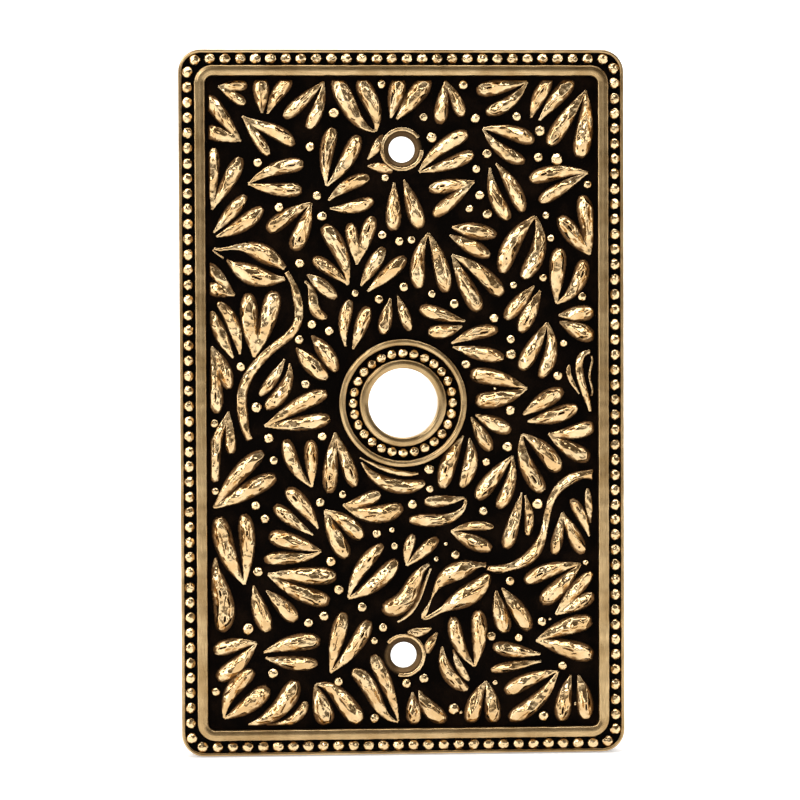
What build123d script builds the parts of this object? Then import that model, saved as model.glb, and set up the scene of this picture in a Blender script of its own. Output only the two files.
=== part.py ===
"""Ornate cast wall plate cover, single gang, with one centre hole.

The plate stands upright: its front faces -Y, its long side runs along Z, and the
rim of its hollow back stands on the wall plane y = 0. The origin is where the
centre hole's axis meets that plane. Depths are measured from the wall forwards.
"""

import math
import os

from build123d import *

# Plate
plate_width = 73.2
plate_height = 116.0
plate_corner_radius = 3.7
rim_wall = 2.0
recess_depth = 4.4
web_thickness = 1.0
ground_thickness = 0.6

# Border: an outer lip, a row of beads in a channel, and a frame moulding
lip_width = 0.55
lip_rise = 0.85
bead_radius = 0.92
bead_clearance = 0.03
bead_gap = 0.65
channel_gap = 0.18
moulding_width = 1.75
moulding_rise = 1.85
moulding_corner_radius = 3.0
moulding_bevel = 0.35

# Centre hole and its collar
bore_radius = 5.7
bushing_wall = 1.44
bushing_rise = 1.4
collar_bead_radius = 0.79
collar_bead_inner_gap = 0.29
collar_bead_outer_gap = 0.46
collar_bead_spacing = 0.265
collar_ring_width = 1.05
collar_rise = 1.3
collar_round = 0.3

# Screw holes
screw_spacing = 83.34
screw_hole_radius = 2.15
screw_dish_width = 0.6
bezel_gap = 0.25
bezel_width = 0.6
upper_bezel_start = 35
upper_bezel_sweep = 322
lower_bezel_start = -106
lower_bezel_sweep = 248

# Relief: every leaf is half-round, and none is higher than the limit
relief_margin = 0.75
relief_rise_limit = 1.3
relief_clearance = 0.05
wire_width = 0.34
leaf_stations = (0.01, 0.12, 0.28, 0.45, 0.6, 0.74, 0.86, 0.94, 0.985)
leaf_taper = 0.85
leaf_fullness = 1.03
belly_shift = 0.04

# Worked out from the sizes above
tray_depth = recess_depth + web_thickness
ground_depth = tray_depth + ground_thickness
bead_inset = lip_width + bead_clearance + bead_radius
moulding_inset = bead_inset + bead_radius + channel_gap
moulding_inner_inset = moulding_inset + moulding_width
field_width = plate_width - 2 * moulding_inner_inset
field_height = plate_height - 2 * moulding_inner_inset
field_corner_radius = max(moulding_corner_radius - moulding_width, 0.4)
relief_width = field_width - 2 * relief_margin
relief_height = field_height - 2 * relief_margin
bushing_radius = bore_radius + bushing_wall
collar_bead_circle = bushing_radius + collar_bead_inner_gap + collar_bead_radius
collar_bead_count = round(2 * math.pi * collar_bead_circle / (2 * collar_bead_radius + collar_bead_spacing))
collar_inner_radius = collar_bead_circle + collar_bead_radius + collar_bead_outer_gap
collar_outer_radius = collar_inner_radius + collar_ring_width
screw_height = screw_spacing / 2
screw_dish_radius = screw_hole_radius + screw_dish_width
bezel_radius = screw_dish_radius + bezel_gap + bezel_width / 2

# The leaves are laid out on a relief of this size, and spread with the plate
layout_width = 63.0
layout_height = 105.8
spread_x = relief_width / layout_width
spread_z = relief_height / layout_height
spread_size = min(spread_x, spread_z)

# Leaf pairs by region. A leaf is its width, where along its length it is widest
# (0 at the tip, 1 at the round end), and its centre line (x, z) from the tip.
leaf_pairs = {
    "top_left": [
        (1.6, 0.70, (-30.1, 52.0), (-25.3, 52.1)),
        (1.5, 0.70, (-30.1, 52.0), (-25.6, 49.1)),
        (2.3, 0.70, (-22.9, 47.5), (-23.1, 53.2)),
        (2.0, 0.70, (-22.0, 47.4), (-20.5, 50.5), (-18.2, 53.2)),
        (1.9, 0.70, (-12.8, 52.8), (-19.3, 46.8)),
        (1.8, 0.70, (-12.8, 52.8), (-13.2, 50.0), (-14.3, 47.0), (-15.5, 45.0)),
        (2.1, 0.75, (-26.3, 43.0), (-31.9, 50.3)),
        (2.1, 0.75, (-26.3, 43.0), (-32.2, 44.8)),
        (2.0, 0.70, (-26.2, 47.2), (-23.5, 45.7), (-20.2, 44.3), (-17.8, 42.2)),
        (1.6, 0.70, (-26.2, 47.2), (-21.8, 40.7)),
        (1.8, 0.70, (-31.2, 31.8), (-30.8, 42.0)),
        (2.1, 0.70, (-31.2, 31.8), (-29.0, 35.5), (-27.6, 38.0), (-26.4, 40.4)),
        (2.1, 0.75, (-25.3, 36.0), (-22.0, 38.0), (-16.1, 39.2)),
        (2.0, 0.75, (-25.3, 36.0), (-22.0, 35.3), (-16.4, 35.1)),
        (1.9, 0.60, (-31.0, 28.0), (-25.6, 34.2)),
        (2.2, 0.60, (-30.6, 27.4), (-26.0, 29.6), (-22.9, 32.2)),
        (2.2, 0.72, (-14.9, 33.0), (-17.7, 31.5), (-22.1, 28.3)),
        (2.4, 0.72, (-14.9, 33.0), (-15.8, 30.0), (-17.9, 25.2)),
    ],
    "top_centre": [
        (2.1, 0.70, (-12.4, 35.6), (-12.2, 42.0), (-11.2, 45.2)),
        (2.2, 0.70, (-12.4, 35.6), (-9.0, 40.0), (-7.2, 44.0)),
        (2.6, 0.70, (-4.3, 44.5), (-8.0, 47.5), (-9.3, 50.0), (-11.1, 53.2)),
        (2.5, 0.70, (-4.3, 44.5), (-4.2, 47.0), (-5.3, 50.0), (-6.7, 53.2)),
        (2.4, 0.70, (-1.8, 46.7), (-0.3, 53.3)),
        (2.6, 0.65, (-0.9, 46.5), (1.5, 49.5), (4.5, 53.2)),
        (2.0, 0.70, (7.2, 52.9), (6.2, 45.8)),
        (1.8, 0.70, (7.2, 52.9), (8.6, 50.5), (9.9, 47.0)),
        (2.1, 0.75, (2.7, 37.9), (5.2, 40.8), (10.9, 44.3)),
        (1.9, 0.75, (2.7, 37.9), (6.5, 38.8), (11.8, 41.1)),
        (1.9, 0.65, (-12.2, 33.2), (-8.5, 36.0), (-5.3, 37.1)),
        (1.9, 0.65, (-11.9, 32.0), (-8.0, 32.2), (-4.7, 33.4)),
        (2.2, 0.70, (-1.3, 36.3), (-1.5, 28.3)),
        (2.3, 0.70, (0.3, 36.8), (3.0, 28.7)),
        (2.0, 0.65, (12.0, 36.4), (4.4, 35.1)),
        (1.9, 0.70, (12.0, 36.4), (5.1, 30.7)),
    ],
    "top_right": [
        (2.2, 0.70, (20.8, 52.8), (12.3, 51.2)),
        (1.9, 0.70, (20.8, 52.8), (17.0, 48.9), (13.8, 47.7)),
        (2.0, 0.60, (21.3, 46.7), (22.5, 50.0), (24.6, 53.2)),
        (2.2, 0.70, (22.6, 46.3), (25.5, 50.0), (28.2, 53.0)),
        (2.3, 0.72, (30.4, 51.4), (28.0, 48.0), (24.2, 42.3)),
        (2.6, 0.75, (30.4, 51.4), (30.3, 46.0), (29.2, 40.3)),
        (2.2, 0.70, (13.3, 45.1), (16.5, 44.8), (21.8, 42.9)),
        (1.9, 0.70, (13.3, 45.1), (15.5, 42.3), (20.3, 39.6)),
        (2.1, 0.70, (14.5, 38.7), (15.0, 35.0), (17.7, 30.1)),
        (2.1, 0.65, (15.4, 39.4), (17.5, 36.7), (19.9, 31.3)),
        (2.2, 0.70, (30.8, 37.8), (27.0, 38.0), (21.0, 36.6)),
        (1.9, 0.70, (30.8, 37.8), (27.5, 36.0), (22.6, 33.0)),
        (2.5, 0.60, (31.0, 24.2), (29.2, 26.3), (26.0, 30.6)),
        (2.4, 0.65, (31.0, 24.2), (30.7, 28.5), (29.7, 34.1)),
    ],
    "upper_left": [
        (1.7, 0.70, (-27.5, 17.8), (-31.9, 22.9)),
        (2.0, 0.70, (-27.5, 17.8), (-32.0, 19.2)),
        (1.9, 0.50, (-26.7, 8.0), (-27.0, 10.0), (-28.5, 14.5), (-30.5, 16.7)),
        (1.9, 0.50, (-27.8, 7.4), (-29.2, 10.0), (-31.4, 15.3)),
        (2.6, 0.65, (-24.4, 7.5), (-25.0, 12.5), (-25.3, 18.2)),
        (2.6, 0.75, (-24.4, 7.5), (-22.4, 13.0), (-21.0, 18.5)),
        (2.0, 0.50, (-15.7, 21.2), (-12.8, 19.0), (-10.9, 17.2)),
        (1.6, 0.60, (-16.1, 20.1), (-14.9, 18.3), (-14.3, 15.3), (-12.3, 14.2)),
    ],
    "upper_centre": [
        (2.4, 0.70, (-8.9, 19.4), (-9.2, 21.7), (-11.2, 26.8), (-13.1, 29.2)),
        (1.9, 0.70, (-8.9, 19.4), (-11.5, 21.7), (-14.7, 23.8)),
        (1.8, 0.70, (-7.5, 22.7), (-8.6, 29.6)),
        (2.0, 0.70, (-7.5, 22.7), (-6.6, 25.3), (-4.8, 30.7)),
        (2.0, 0.60, (-6.9, 19.2), (-3.0, 25.6)),
        (2.1, 0.65, (-5.8, 18.3), (0.6, 24.0)),
        (2.1, 0.70, (4.3, 28.0), (3.0, 25.2), (2.8, 18.8)),
        (2.3, 0.70, (4.3, 28.0), (5.6, 25.0), (7.1, 18.1)),
        (1.8, 0.65, (-9.4, 9.3), (-9.7, 12.0), (-8.5, 17.0)),
        (2.0, 0.65, (-8.2, 8.8), (-5.7, 15.9)),
        (1.9, 0.65, (-2.0, 17.3), (-3.3, 11.3)),
        (1.6, 0.60, (-0.8, 17.7), (1.2, 11.8)),
        (2.0, 0.70, (10.4, 13.4), (5.3, 14.8), (2.8, 15.6)),
        (2.0, 0.65, (9.9, 12.7), (6.3, 11.7), (4.2, 11.8)),
    ],
    "upper_right": [
        (2.3, 0.50, (8.1, 28.9), (15.6, 27.6)),
        (2.1, 0.60, (7.7, 27.6), (11.7, 25.5), (14.5, 24.1)),
        (2.3, 0.75, (8.1, 24.4), (11.2, 22.7), (16.4, 17.6)),
        (2.4, 0.75, (8.1, 24.4), (9.5, 21.3), (12.7, 15.1)),
        (2.6, 0.60, (22.0, 30.7), (18.2, 26.3), (16.5, 21.2)),
        (2.4, 0.65, (22.0, 30.7), (22.7, 27.5), (19.7, 20.4)),
        (2.4, 0.70, (25.4, 16.2), (25.6, 22.0), (26.0, 25.4)),
        (2.2, 0.70, (25.4, 16.2), (27.7, 17.8), (29.9, 23.5)),
        (2.1, 0.60, (21.8, 19.3), (16.9, 13.7)),
        (2.2, 0.60, (22.8, 18.5), (19.4, 11.5)),
        (2.3, 0.65, (25.7, 14.3), (31.6, 14.8)),
        (2.5, 0.65, (25.9, 13.3), (31.6, 10.6)),
        (2.3, 0.68, (23.9, 13.2), (21.9, 9.6), (19.5, 5.3)),
        (2.0, 0.65, (23.9, 13.2), (24.6, 9.0), (22.6, 4.0)),
        (1.9, 0.65, (8.0, 9.7), (10.5, 10.9), (15.8, 12.0)),
        (2.1, 0.60, (8.2, 9.2), (10.5, 8.6), (16.8, 7.4)),
    ],
    "middle_left": [
        (2.0, 0.65, (-31.4, 9.5), (-29.3, 5.5), (-28.6, 2.4)),
        (2.1, 0.70, (-31.4, 9.5), (-31.0, 5.0), (-30.6, -1.6)),
        (2.0, 0.70, (-28.6, -1.2), (-29.9, -4.0), (-31.0, -7.5), (-30.7, -12.9)),
        (1.6, 0.75, (-28.6, -1.2), (-28.5, -4.0), (-28.2, -8.2)),
        (1.6, 0.55, (-19.4, 7.4), (-21.2, 4.3), (-23.6, 1.3)),
        (2.1, 0.65, (-18.6, 6.7), (-18.9, 3.8), (-20.4, 1.2), (-22.7, -0.7)),
        (2.4, 0.50, (-17.5, 9.2), (-15.2, 6.6), (-12.4, 4.0)),
        (2.3, 0.50, (-15.0, 11.2), (-12.9, 8.6), (-10.9, 5.2)),
        (2.2, 0.72, (-22.9, -3.7), (-19.5, -1.6), (-15.2, 0.7), (-12.4, 1.7)),
        (2.2, 0.72, (-22.9, -3.7), (-18.9, -3.5), (-11.9, -2.4)),
        (2.3, 0.65, (-31.3, -17.1), (-28.8, -13.7), (-25.2, -9.7), (-22.9, -7.9)),
        (2.5, 0.68, (-31.3, -17.1), (-28.2, -15.7), (-23.2, -13.0), (-20.9, -12.0)),
        (2.0, 0.70, (-15.0, -13.8), (-17.2, -11.4), (-19.2, -5.8)),
        (2.0, 0.70, (-15.0, -13.8), (-15.2, -6.0)),
        (2.2, 0.70, (-11.2, -4.7), (-11.7, -8.0), (-12.1, -14.8)),
        (2.0, 0.70, (-11.2, -4.7), (-9.6, -8.8), (-8.0, -13.8)),
    ],
    "middle_right": [
        (2.4, 0.72, (20.6, 2.3), (17.0, 3.6), (11.1, 4.7)),
        (2.5, 0.72, (20.6, 2.3), (17.5, 1.0), (12.0, 0.4)),
        (2.4, 0.60, (19.8, -2.1), (22.6, -0.2), (26.5, 2.0)),
        (2.3, 0.60, (20.5, -3.2), (24.2, -2.5), (28.9, -0.8)),
        (2.2, 0.75, (24.0, -5.2), (27.5, -5.1), (31.6, -3.9)),
        (2.4, 0.72, (24.0, -5.2), (27.3, -7.6), (30.9, -9.3)),
        (2.4, 0.72, (19.7, -5.2), (19.7, -8.0), (21.0, -11.6), (23.2, -14.8)),
        (2.5, 0.72, (19.7, -5.2), (22.3, -7.0), (25.7, -11.5)),
        (2.2, 0.60, (11.9, -2.0), (17.8, -4.8)),
        (2.0, 0.65, (11.2, -2.3), (14.5, -8.0)),
        (2.3, 0.68, (18.1, -8.8), (15.2, -12.0), (12.2, -16.0)),
        (1.9, 0.72, (18.1, -8.8), (18.0, -12.0), (15.6, -17.5)),
        (2.4, 0.60, (10.0, -5.4), (7.9, -9.0), (6.5, -14.2)),
        (2.1, 0.50, (10.9, -5.8), (11.2, -9.5), (9.5, -14.0)),
        (0.8, 0.60, (29.2, 1.3), (28.3, 2.7), (27.5, 4.4), (27.6, 6.2)),
    ],
    "lower_left": [
        (2.9, 0.68, (-26.2, -29.8), (-28.8, -25.0), (-30.3, -18.5)),
        (2.3, 0.70, (-26.2, -29.8), (-25.7, -23.0), (-26.2, -18.0)),
        (2.3, 0.68, (-14.0, -20.7), (-17.3, -15.9), (-19.2, -14.0)),
        (1.9, 0.70, (-14.8, -21.7), (-18.2, -19.3), (-21.2, -16.7)),
        (2.5, 0.72, (-13.5, -24.3), (-16.5, -23.3), (-22.1, -21.7)),
        (1.9, 0.70, (-13.5, -24.3), (-15.7, -25.2), (-19.5, -25.4), (-23.0, -25.8)),
        (2.6, 0.72, (-22.5, -28.0), (-18.8, -28.2), (-11.1, -28.5)),
        (2.4, 0.75, (-22.5, -28.0), (-19.5, -30.0), (-12.2, -32.6)),
        (3.1, 0.68, (-30.9, -25.2), (-30.8, -28.0), (-29.7, -32.5), (-30.3, -37.4)),
        (2.4, 0.65, (-24.7, -29.8), (-24.0, -33.0), (-22.3, -37.5)),
        (2.3, 0.68, (-22.7, -30.7), (-20.7, -32.5), (-17.8, -35.8)),
    ],
    "lower_centre": [
        (0.9, 0.60, (-7.2, -8.9), (-4.3, -10.3), (-1.0, -11.4), (2.7, -11.6)),
        (2.1, 0.60, (-6.9, -9.6), (-4.3, -12.4), (-1.0, -13.7), (3.7, -13.0)),
        (2.3, 0.70, (-13.0, -17.5), (-10.6, -18.8), (-6.9, -22.3)),
        (2.4, 0.72, (-13.0, -17.5), (-11.7, -20.9), (-9.3, -25.4)),
        (1.9, 0.70, (-10.0, -16.7), (-7.0, -16.2), (-3.8, -14.8)),
        (2.6, 0.65, (-10.0, -16.7), (-4.0, -18.3), (-0.1, -17.0)),
        (1.7, 0.68, (10.2, -15.7), (8.3, -16.0), (3.4, -16.3)),
        (1.8, 0.70, (10.2, -15.7), (10.0, -17.3), (8.2, -18.8), (4.5, -19.4), (0.8, -19.3)),
        (1.5, 0.65, (0.5, -26.9), (0.8, -24.0), (1.7, -21.7)),
        (1.8, 0.65, (0.5, -26.9), (5.7, -22.3)),
        (2.0, 0.62, (-9.2, -32.2), (-8.0, -29.0), (-3.3, -23.3)),
        (2.4, 0.65, (-9.2, -32.2), (-5.8, -30.5), (-1.1, -25.8)),
        (2.9, 0.72, (4.4, -26.6), (2.4, -28.4), (0.8, -31.6), (-3.6, -33.8)),
        (0.6, 0.50, (4.6, -27.2), (3.3, -30.5), (1.2, -34.5), (-1.2, -36.2)),
    ],
    "lower_right": [
        (1.4, 0.60, (7.8, -21.2), (10.5, -20.5), (15.0, -20.6)),
        (2.2, 0.60, (7.8, -21.2), (11.0, -22.8), (14.6, -24.2)),
        (2.0, 0.75, (19.6, -14.8), (19.0, -17.2), (16.9, -24.2)),
        (1.4, 0.60, (20.1, -15.3), (20.8, -18.5), (20.5, -22.1)),
        (1.7, 0.70, (26.3, -18.2), (25.8, -21.2), (24.9, -25.2)),
        (2.0, 0.68, (26.3, -18.2), (28.0, -21.5), (29.7, -25.2)),
        (1.6, 0.65, (30.8, -22.3), (29.2, -18.3), (27.8, -16.0)),
        (1.1, 0.50, (31.0, -20.0), (30.7, -16.7), (30.5, -14.2)),
        (2.2, 0.68, (29.4, -26.8), (25.5, -27.4), (20.0, -29.7)),
        (2.5, 0.72, (29.4, -26.8), (27.2, -29.2), (22.8, -33.2)),
        (2.0, 0.60, (25.1, -35.2), (27.5, -32.2), (31.3, -28.2)),
        (2.0, 0.68, (25.1, -35.2), (28.7, -33.5), (31.6, -31.9)),
    ],
    "bottom_left": [
        (2.2, 0.70, (-24.2, -39.3), (-27.6, -39.6), (-31.3, -40.7)),
        (2.4, 0.72, (-24.2, -39.3), (-26.3, -41.8), (-30.8, -45.2)),
        (2.5, 0.70, (-23.2, -41.0), (-18.5, -39.5), (-13.8, -39.2)),
        (2.1, 0.60, (-22.9, -41.8), (-18.5, -42.7), (-14.2, -42.8)),
        (2.3, 0.70, (-29.7, -51.8), (-29.3, -49.2), (-24.7, -44.0)),
        (2.6, 0.68, (-29.7, -51.8), (-26.0, -49.8), (-22.4, -46.7)),
        (2.8, 0.72, (-25.8, -52.8), (-21.2, -50.8), (-18.9, -48.0), (-18.0, -45.6)),
        (1.5, 0.72, (-22.7, -52.8), (-18.6, -52.2), (-16.9, -50.7), (-16.2, -49.0)),
        (2.9, 0.72, (-14.7, -46.3), (-13.9, -49.0), (-12.7, -52.9)),
        (2.8, 0.72, (-14.7, -46.3), (-12.4, -46.8), (-9.3, -50.0), (-7.0, -52.5)),
    ],
    "bottom_centre": [
        (2.2, 0.68, (-12.2, -44.5), (-11.3, -40.0), (-9.8, -34.4)),
        (2.2, 0.72, (-12.2, -44.5), (-9.3, -41.6), (-5.7, -35.8)),
        (2.0, 0.75, (-0.9, -52.7), (-1.6, -50.0), (-3.2, -45.7), (-5.2, -41.5)),
        (2.3, 0.70, (-0.9, -52.7), (-3.0, -51.6), (-4.8, -48.7), (-8.7, -44.2)),
        (2.2, 0.68, (1.4, -47.7), (1.7, -53.0)),
        (2.4, 0.62, (2.5, -47.4), (4.0, -50.3), (7.0, -52.5)),
        (2.0, 0.68, (11.7, -43.7), (9.6, -40.9), (8.2, -35.3)),
        (2.3, 0.68, (11.7, -43.7), (12.2, -41.5), (12.2, -34.3)),
        (2.0, 0.55, (6.4, -40.2), (7.0, -44.0), (8.7, -46.3), (10.7, -47.4)),
        (1.2, 0.55, (8.2, -40.8), (9.3, -43.8), (10.8, -46.0)),
    ],
    "bottom_right": [
        (2.4, 0.68, (15.3, -31.0), (15.9, -34.5), (17.0, -38.0)),
        (2.4, 0.65, (16.2, -30.6), (18.8, -34.2), (20.8, -37.7)),
        (2.6, 0.72, (21.8, -39.5), (25.3, -37.8), (31.2, -36.2)),
        (2.8, 0.72, (21.8, -39.5), (25.3, -40.3), (31.4, -42.1)),
        (2.1, 0.65, (22.7, -41.7), (17.0, -40.8), (14.7, -40.2)),
        (1.5, 0.65, (22.8, -42.9), (17.5, -43.7), (14.3, -44.3)),
        (2.2, 0.72, (25.6, -44.5), (22.2, -45.4), (16.7, -48.0)),
        (2.4, 0.72, (25.6, -44.5), (23.8, -47.5), (17.3, -52.4)),
        (2.4, 0.75, (13.6, -46.0), (12.2, -48.5), (11.0, -52.9)),
        (2.3, 0.75, (13.6, -46.0), (14.4, -48.8), (14.7, -52.9)),
        (2.4, 0.70, (27.7, -45.2), (26.7, -48.5), (26.2, -52.8)),
        (2.4, 0.65, (28.9, -45.2), (29.8, -48.5), (30.1, -52.6)),
    ],
}

# Vines and large split leaves: widths at even steps along a centre line (x, z).
vines = {
    "upper_vine_stem": [
        ((0.8, 1.2, 1.3, 1.3, 1.3, 1.4, 1.5, 1.5, 1.5, 1.0),
         ((-19.0, 21.6), (-17.8, 19.0), (-17.0, 15.6), (-17.9, 12.1), (-20.6, 9.7),
          (-24.6, 5.7), (-26.1, 3.0), (-26.5, 0.0), (-26.1, -3.0), (-25.2, -5.9))),
    ],
    "upper_split_leaf": [
        ((0.3, 0.6, 1.4, 2.6, 2.3, 0.8),
         ((-30.9, 25.5), (-28.5, 25.5), (-26.3, 25.7), (-23.6, 25.0), (-21.0, 23.5), (-19.3, 22.2))),
        ((0.3, 1.8, 3.0, 2.9, 1.8, 0.6),
         ((-28.8, 23.6), (-26.9, 22.2), (-24.8, 21.2), (-22.8, 20.6), (-20.9, 20.4), (-19.3, 20.5))),
        ((0.3, 0.3, 0.3),
         ((-31.1, 25.2), (-30.2, 24.5), (-29.3, 23.9))),
    ],
    "lower_vine_stem": [
        ((1.6, 1.5, 1.4, 1.1, 1.0, 1.2, 1.8, 1.6, 1.2, 0.8),
         ((31.3, -12.0), (27.8, -12.7), (25.8, -14.2), (24.5, -16.2), (23.7, -19.2),
          (22.8, -22.8), (20.4, -26.0), (17.8, -27.1), (15.0, -27.6), (13.9, -27.3))),
    ],
    "lower_split_leaf": [
        ((0.3, 0.4, 0.6, 2.0, 2.8, 1.8, 0.9),
         ((3.0, -35.6), (4.2, -33.2), (5.3, -30.8), (7.0, -28.8), (9.2, -27.7), (11.4, -27.0),
          (13.6, -26.9))),
        ((0.3, 0.7, 1.4, 2.7, 3.2, 2.5, 0.7),
         ((3.2, -35.7), (5.4, -34.7), (7.5, -33.5), (9.8, -32.3), (11.7, -31.1), (13.1, -29.8),
          (14.0, -28.4))),
    ],
    "upper_calyx": [
        ((0.5, 1.5, 1.1, 0.25),
         ((-3.0, 43.9), (-3.9, 42.4), (-4.7, 41.2), (-5.7, 40.0))),
        ((0.5, 1.5, 1.2, 0.25),
         ((-1.6, 38.0), (-2.9, 38.5), (-4.2, 38.8), (-5.6, 38.9))),
    ],
    "lower_calyx": [
        ((0.5, 1.4, 1.1, 0.25),
         ((0.6, -38.0), (2.0, -37.9), (3.3, -37.7), (4.6, -37.2))),
        ((0.5, 1.4, 1.1, 0.25),
         ((3.9, -41.4), (4.1, -40.3), (4.7, -39.2), (5.5, -37.9))),
    ],
    "edge_tendril": [
        ((0.6, 1.1, 1.2, 1.1, 0.9, 0.5),
         ((31.0, 8.3), (29.6, 7.6), (29.2, 5.3), (29.6, 3.2), (30.3, 1.0), (31.0, -1.6))),
        ((0.3, 0.35, 0.35, 0.35, 0.3),
         ((31.2, 7.6), (31.2, 6.0), (30.9, 4.6), (31.2, 2.8), (31.2, 1.0))),
    ],
}

# Beads strewn between the leaves: (x, z, radius)
field_beads = {
    "upper_field_beads": [
        (-23.7, 39.5, 0.75), (-15.1, 42.1, 0.75), (-11.2, 47.6, 0.85), (-14.0, 34.1, 0.75),
        (-20.2, 32.2, 0.75), (-3.3, 52.3, 0.70), (3.6, 46.9, 0.65), (4.9, 43.6, 0.85),
        (-2.8, 37.0, 0.60), (10.1, 52.2, 0.75), (12.1, 46.7, 0.75), (18.9, 47.0, 0.70),
        (22.7, 44.7, 0.85), (22.5, 40.3, 0.75), (25.5, 40.0, 0.95), (14.0, 40.9, 0.75),
        (12.2, 38.4, 0.65), (12.8, 34.1, 0.75), (11.1, 31.9, 0.65), (30.6, 35.8, 0.65),
        (-13.2, 30.7, 0.80), (-16.9, 23.0, 0.75), (-14.9, 13.0, 0.72), (-12.1, 11.9, 0.72),
        (-17.0, 10.5, 0.70), (-3.3, 27.6, 0.70), (-0.5, 26.6, 0.70), (1.5, 26.8, 0.65),
        (-7.8, 18.1, 0.60), (-3.9, 17.1, 0.72), (0.2, 19.1, 0.75), (4.8, 17.9, 0.65),
        (8.5, 16.3, 0.75), (14.0, 31.0, 0.80), (23.7, 30.8, 0.60), (24.5, 27.0, 0.62),
        (18.3, 19.3, 0.58), (23.2, 20.5, 0.65), (29.7, 17.4, 0.70), (15.1, 13.9, 0.75),
        (17.8, 10.4, 0.72),
    ],
    "middle_field_beads": [
        (17.9, 7.9, 0.85), (10.4, 6.3, 0.75), (26.6, 9.7, 0.60), (25.6, 4.3, 0.75),
        (17.7, -1.3, 0.80), (17.2, -7.3, 0.80), (13.7, -9.8, 0.65), (-26.6, 6.1, 0.72),
        (-16.0, 3.2, 0.72), (-24.1, -0.6, 0.85), (-22.1, -5.7, 0.80), (-13.3, -5.4, 0.72),
        (-21.3, -9.3, 0.70), (-31.0, -3.2, 0.65), (4.3, -10.9, 0.80), (4.4, -14.2, 0.60),
        (-24.3, -16.7, 0.75), (-22.8, -18.9, 0.75), (-13.7, -16.3, 0.72), (-10.0, -15.0, 0.62),
        (1.5, -16.7, 0.75), (13.2, -17.9, 0.70), (22.2, -16.8, 0.85), (-30.9, -14.3, 0.60),
    ],
    "lower_field_beads": [
        (-4.4, -21.5, 0.68), (-1.9, -20.9, 0.48), (-1.5, -23.6, 0.58), (7.0, -23.3, 0.30),
        (8.6, -25.1, 0.72), (5.4, -25.8, 0.42), (-12.0, -26.0, 0.80), (-24.0, -27.6, 0.80),
        (-10.7, -30.7, 0.80), (17.6, -29.5, 0.72), (30.2, -26.6, 0.45), (-25.6, -37.0, 0.90),
        (-13.2, -35.0, 0.80), (-15.7, -36.1, 0.75), (-21.6, -44.4, 0.80), (-10.8, -45.9, 0.72),
        (-31.0, -47.3, 0.70), (-6.9, -33.6, 0.75), (-3.4, -37.0, 0.70), (-4.9, -39.2, 0.60),
        (0.4, -46.3, 0.75), (3.3, -45.5, 0.75), (-4.9, -52.0, 0.75), (8.2, -50.6, 0.90),
        (9.4, -51.2, 0.30), (22.9, -36.3, 0.72), (24.2, -35.9, 0.25), (14.5, -38.6, 0.75),
        (19.0, -38.9, 0.66), (26.3, -43.6, 0.70), (15.1, -46.3, 0.42), (23.1, -51.9, 0.80),
        (28.4, -50.0, 0.28), (15.2, 2.3, 0.20),
    ],
}


def front_plane(depth):
    """A sketch plane at this depth, seen from the front: x to the right, y up."""
    return Plane(origin=(0, -depth, 0), x_dir=(1, 0, 0), z_dir=(0, -1, 0))


def spread(point):
    """A point of the layout, placed on the relief at its present size."""
    return (point[0] * spread_x, point[1] * spread_z)


def half_round(line, place, width):
    """The half-round section of a ridge, across its centre line at this place."""
    along = line % place
    half = width / 2
    with BuildSketch(Plane(origin=line @ place, x_dir=(-along.Z, 0, along.X), z_dir=along)) as section:
        with BuildLine():
            ThreePointArc((-half, 0), (0, min(half, relief_rise_limit)), (half, 0))
            Line((half, 0), (-half, 0))
        make_face()
    return section.sketch.face()


def relief_ridge(points, widths, places):
    """Loft half-round sections of these widths along a centre line on the ground.

    points are (x, z) on the relief, and places say where along the line each width is.
    """
    with BuildLine(front_plane(ground_depth)) as spine:
        if len(points) == 2:
            Line(*points)
        else:
            Spline(*points)
    loft([half_round(spine.line, place, width) for width, place in zip(widths, places)])


def leaf(width, belly, *points):
    """A relief leaf: a thin tip, widest a little past belly, and a blunt round end.

    From the tip its width swells as a sine to the power of the taper, and past the
    widest place it closes as an ellipse.
    """
    widest = belly + belly_shift
    widths = []
    for place in leaf_stations:
        if place < widest:
            swell = math.sin(math.pi / 2 * place / widest) ** leaf_taper
        else:
            swell = math.sqrt(1 - ((place - widest) / (1 - widest)) ** 2)
        widths.append(max(width * leaf_fullness * spread_size * swell, wire_width))
    relief_ridge([spread(point) for point in points], widths, leaf_stations)


def vine(widths, points):
    """A relief stem or large leaf, its widths given at even steps."""
    places = [step / (len(widths) - 1) for step in range(len(widths))]
    sizes = [width * spread_size for width in widths]
    relief_ridge([spread(point) for point in points], sizes, places)


def trim_to_field(width, height):
    """Keep what stands on a field of this size, clear of the collar and both screw bezels."""
    with BuildSketch(front_plane(ground_depth)) as field:
        Rectangle(width, height)
        Circle(collar_outer_radius + relief_clearance, mode=Mode.SUBTRACT)
        with Locations((0, screw_height), (0, -screw_height)):
            Circle(bezel_radius + bezel_width / 2 + relief_clearance, mode=Mode.SUBTRACT)
    extrude(field.sketch, amount=2 * relief_rise_limit, mode=Mode.INTERSECT)


def bezel(height, start, sweep_angle):
    """A half-round ring about the screw hole at this height, open over the rest of its turn.

    On a short plate it stops where it meets the frame moulding.
    """
    with BuildLine(front_plane(ground_depth)) as trace:
        CenterArc((0, height), bezel_radius, start, sweep_angle)
    sweep(half_round(trace.line, 0, bezel_width), path=trace.line)
    with BuildSketch(front_plane(ground_depth)) as field:
        Rectangle(field_width, field_height)
    extrude(field.sketch, amount=2 * relief_rise_limit, mode=Mode.INTERSECT)


def bead(radius):
    """Half a ball, its flat side on the surface it is placed on."""
    Sphere(radius, arc_size1=0, align=(Align.CENTER, Align.CENTER, Align.MIN))


def save(part, node):
    """Label a finished piece and write it under its node's name."""
    part.label = node
    export_step(part, f"parts/{node}.step")


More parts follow.
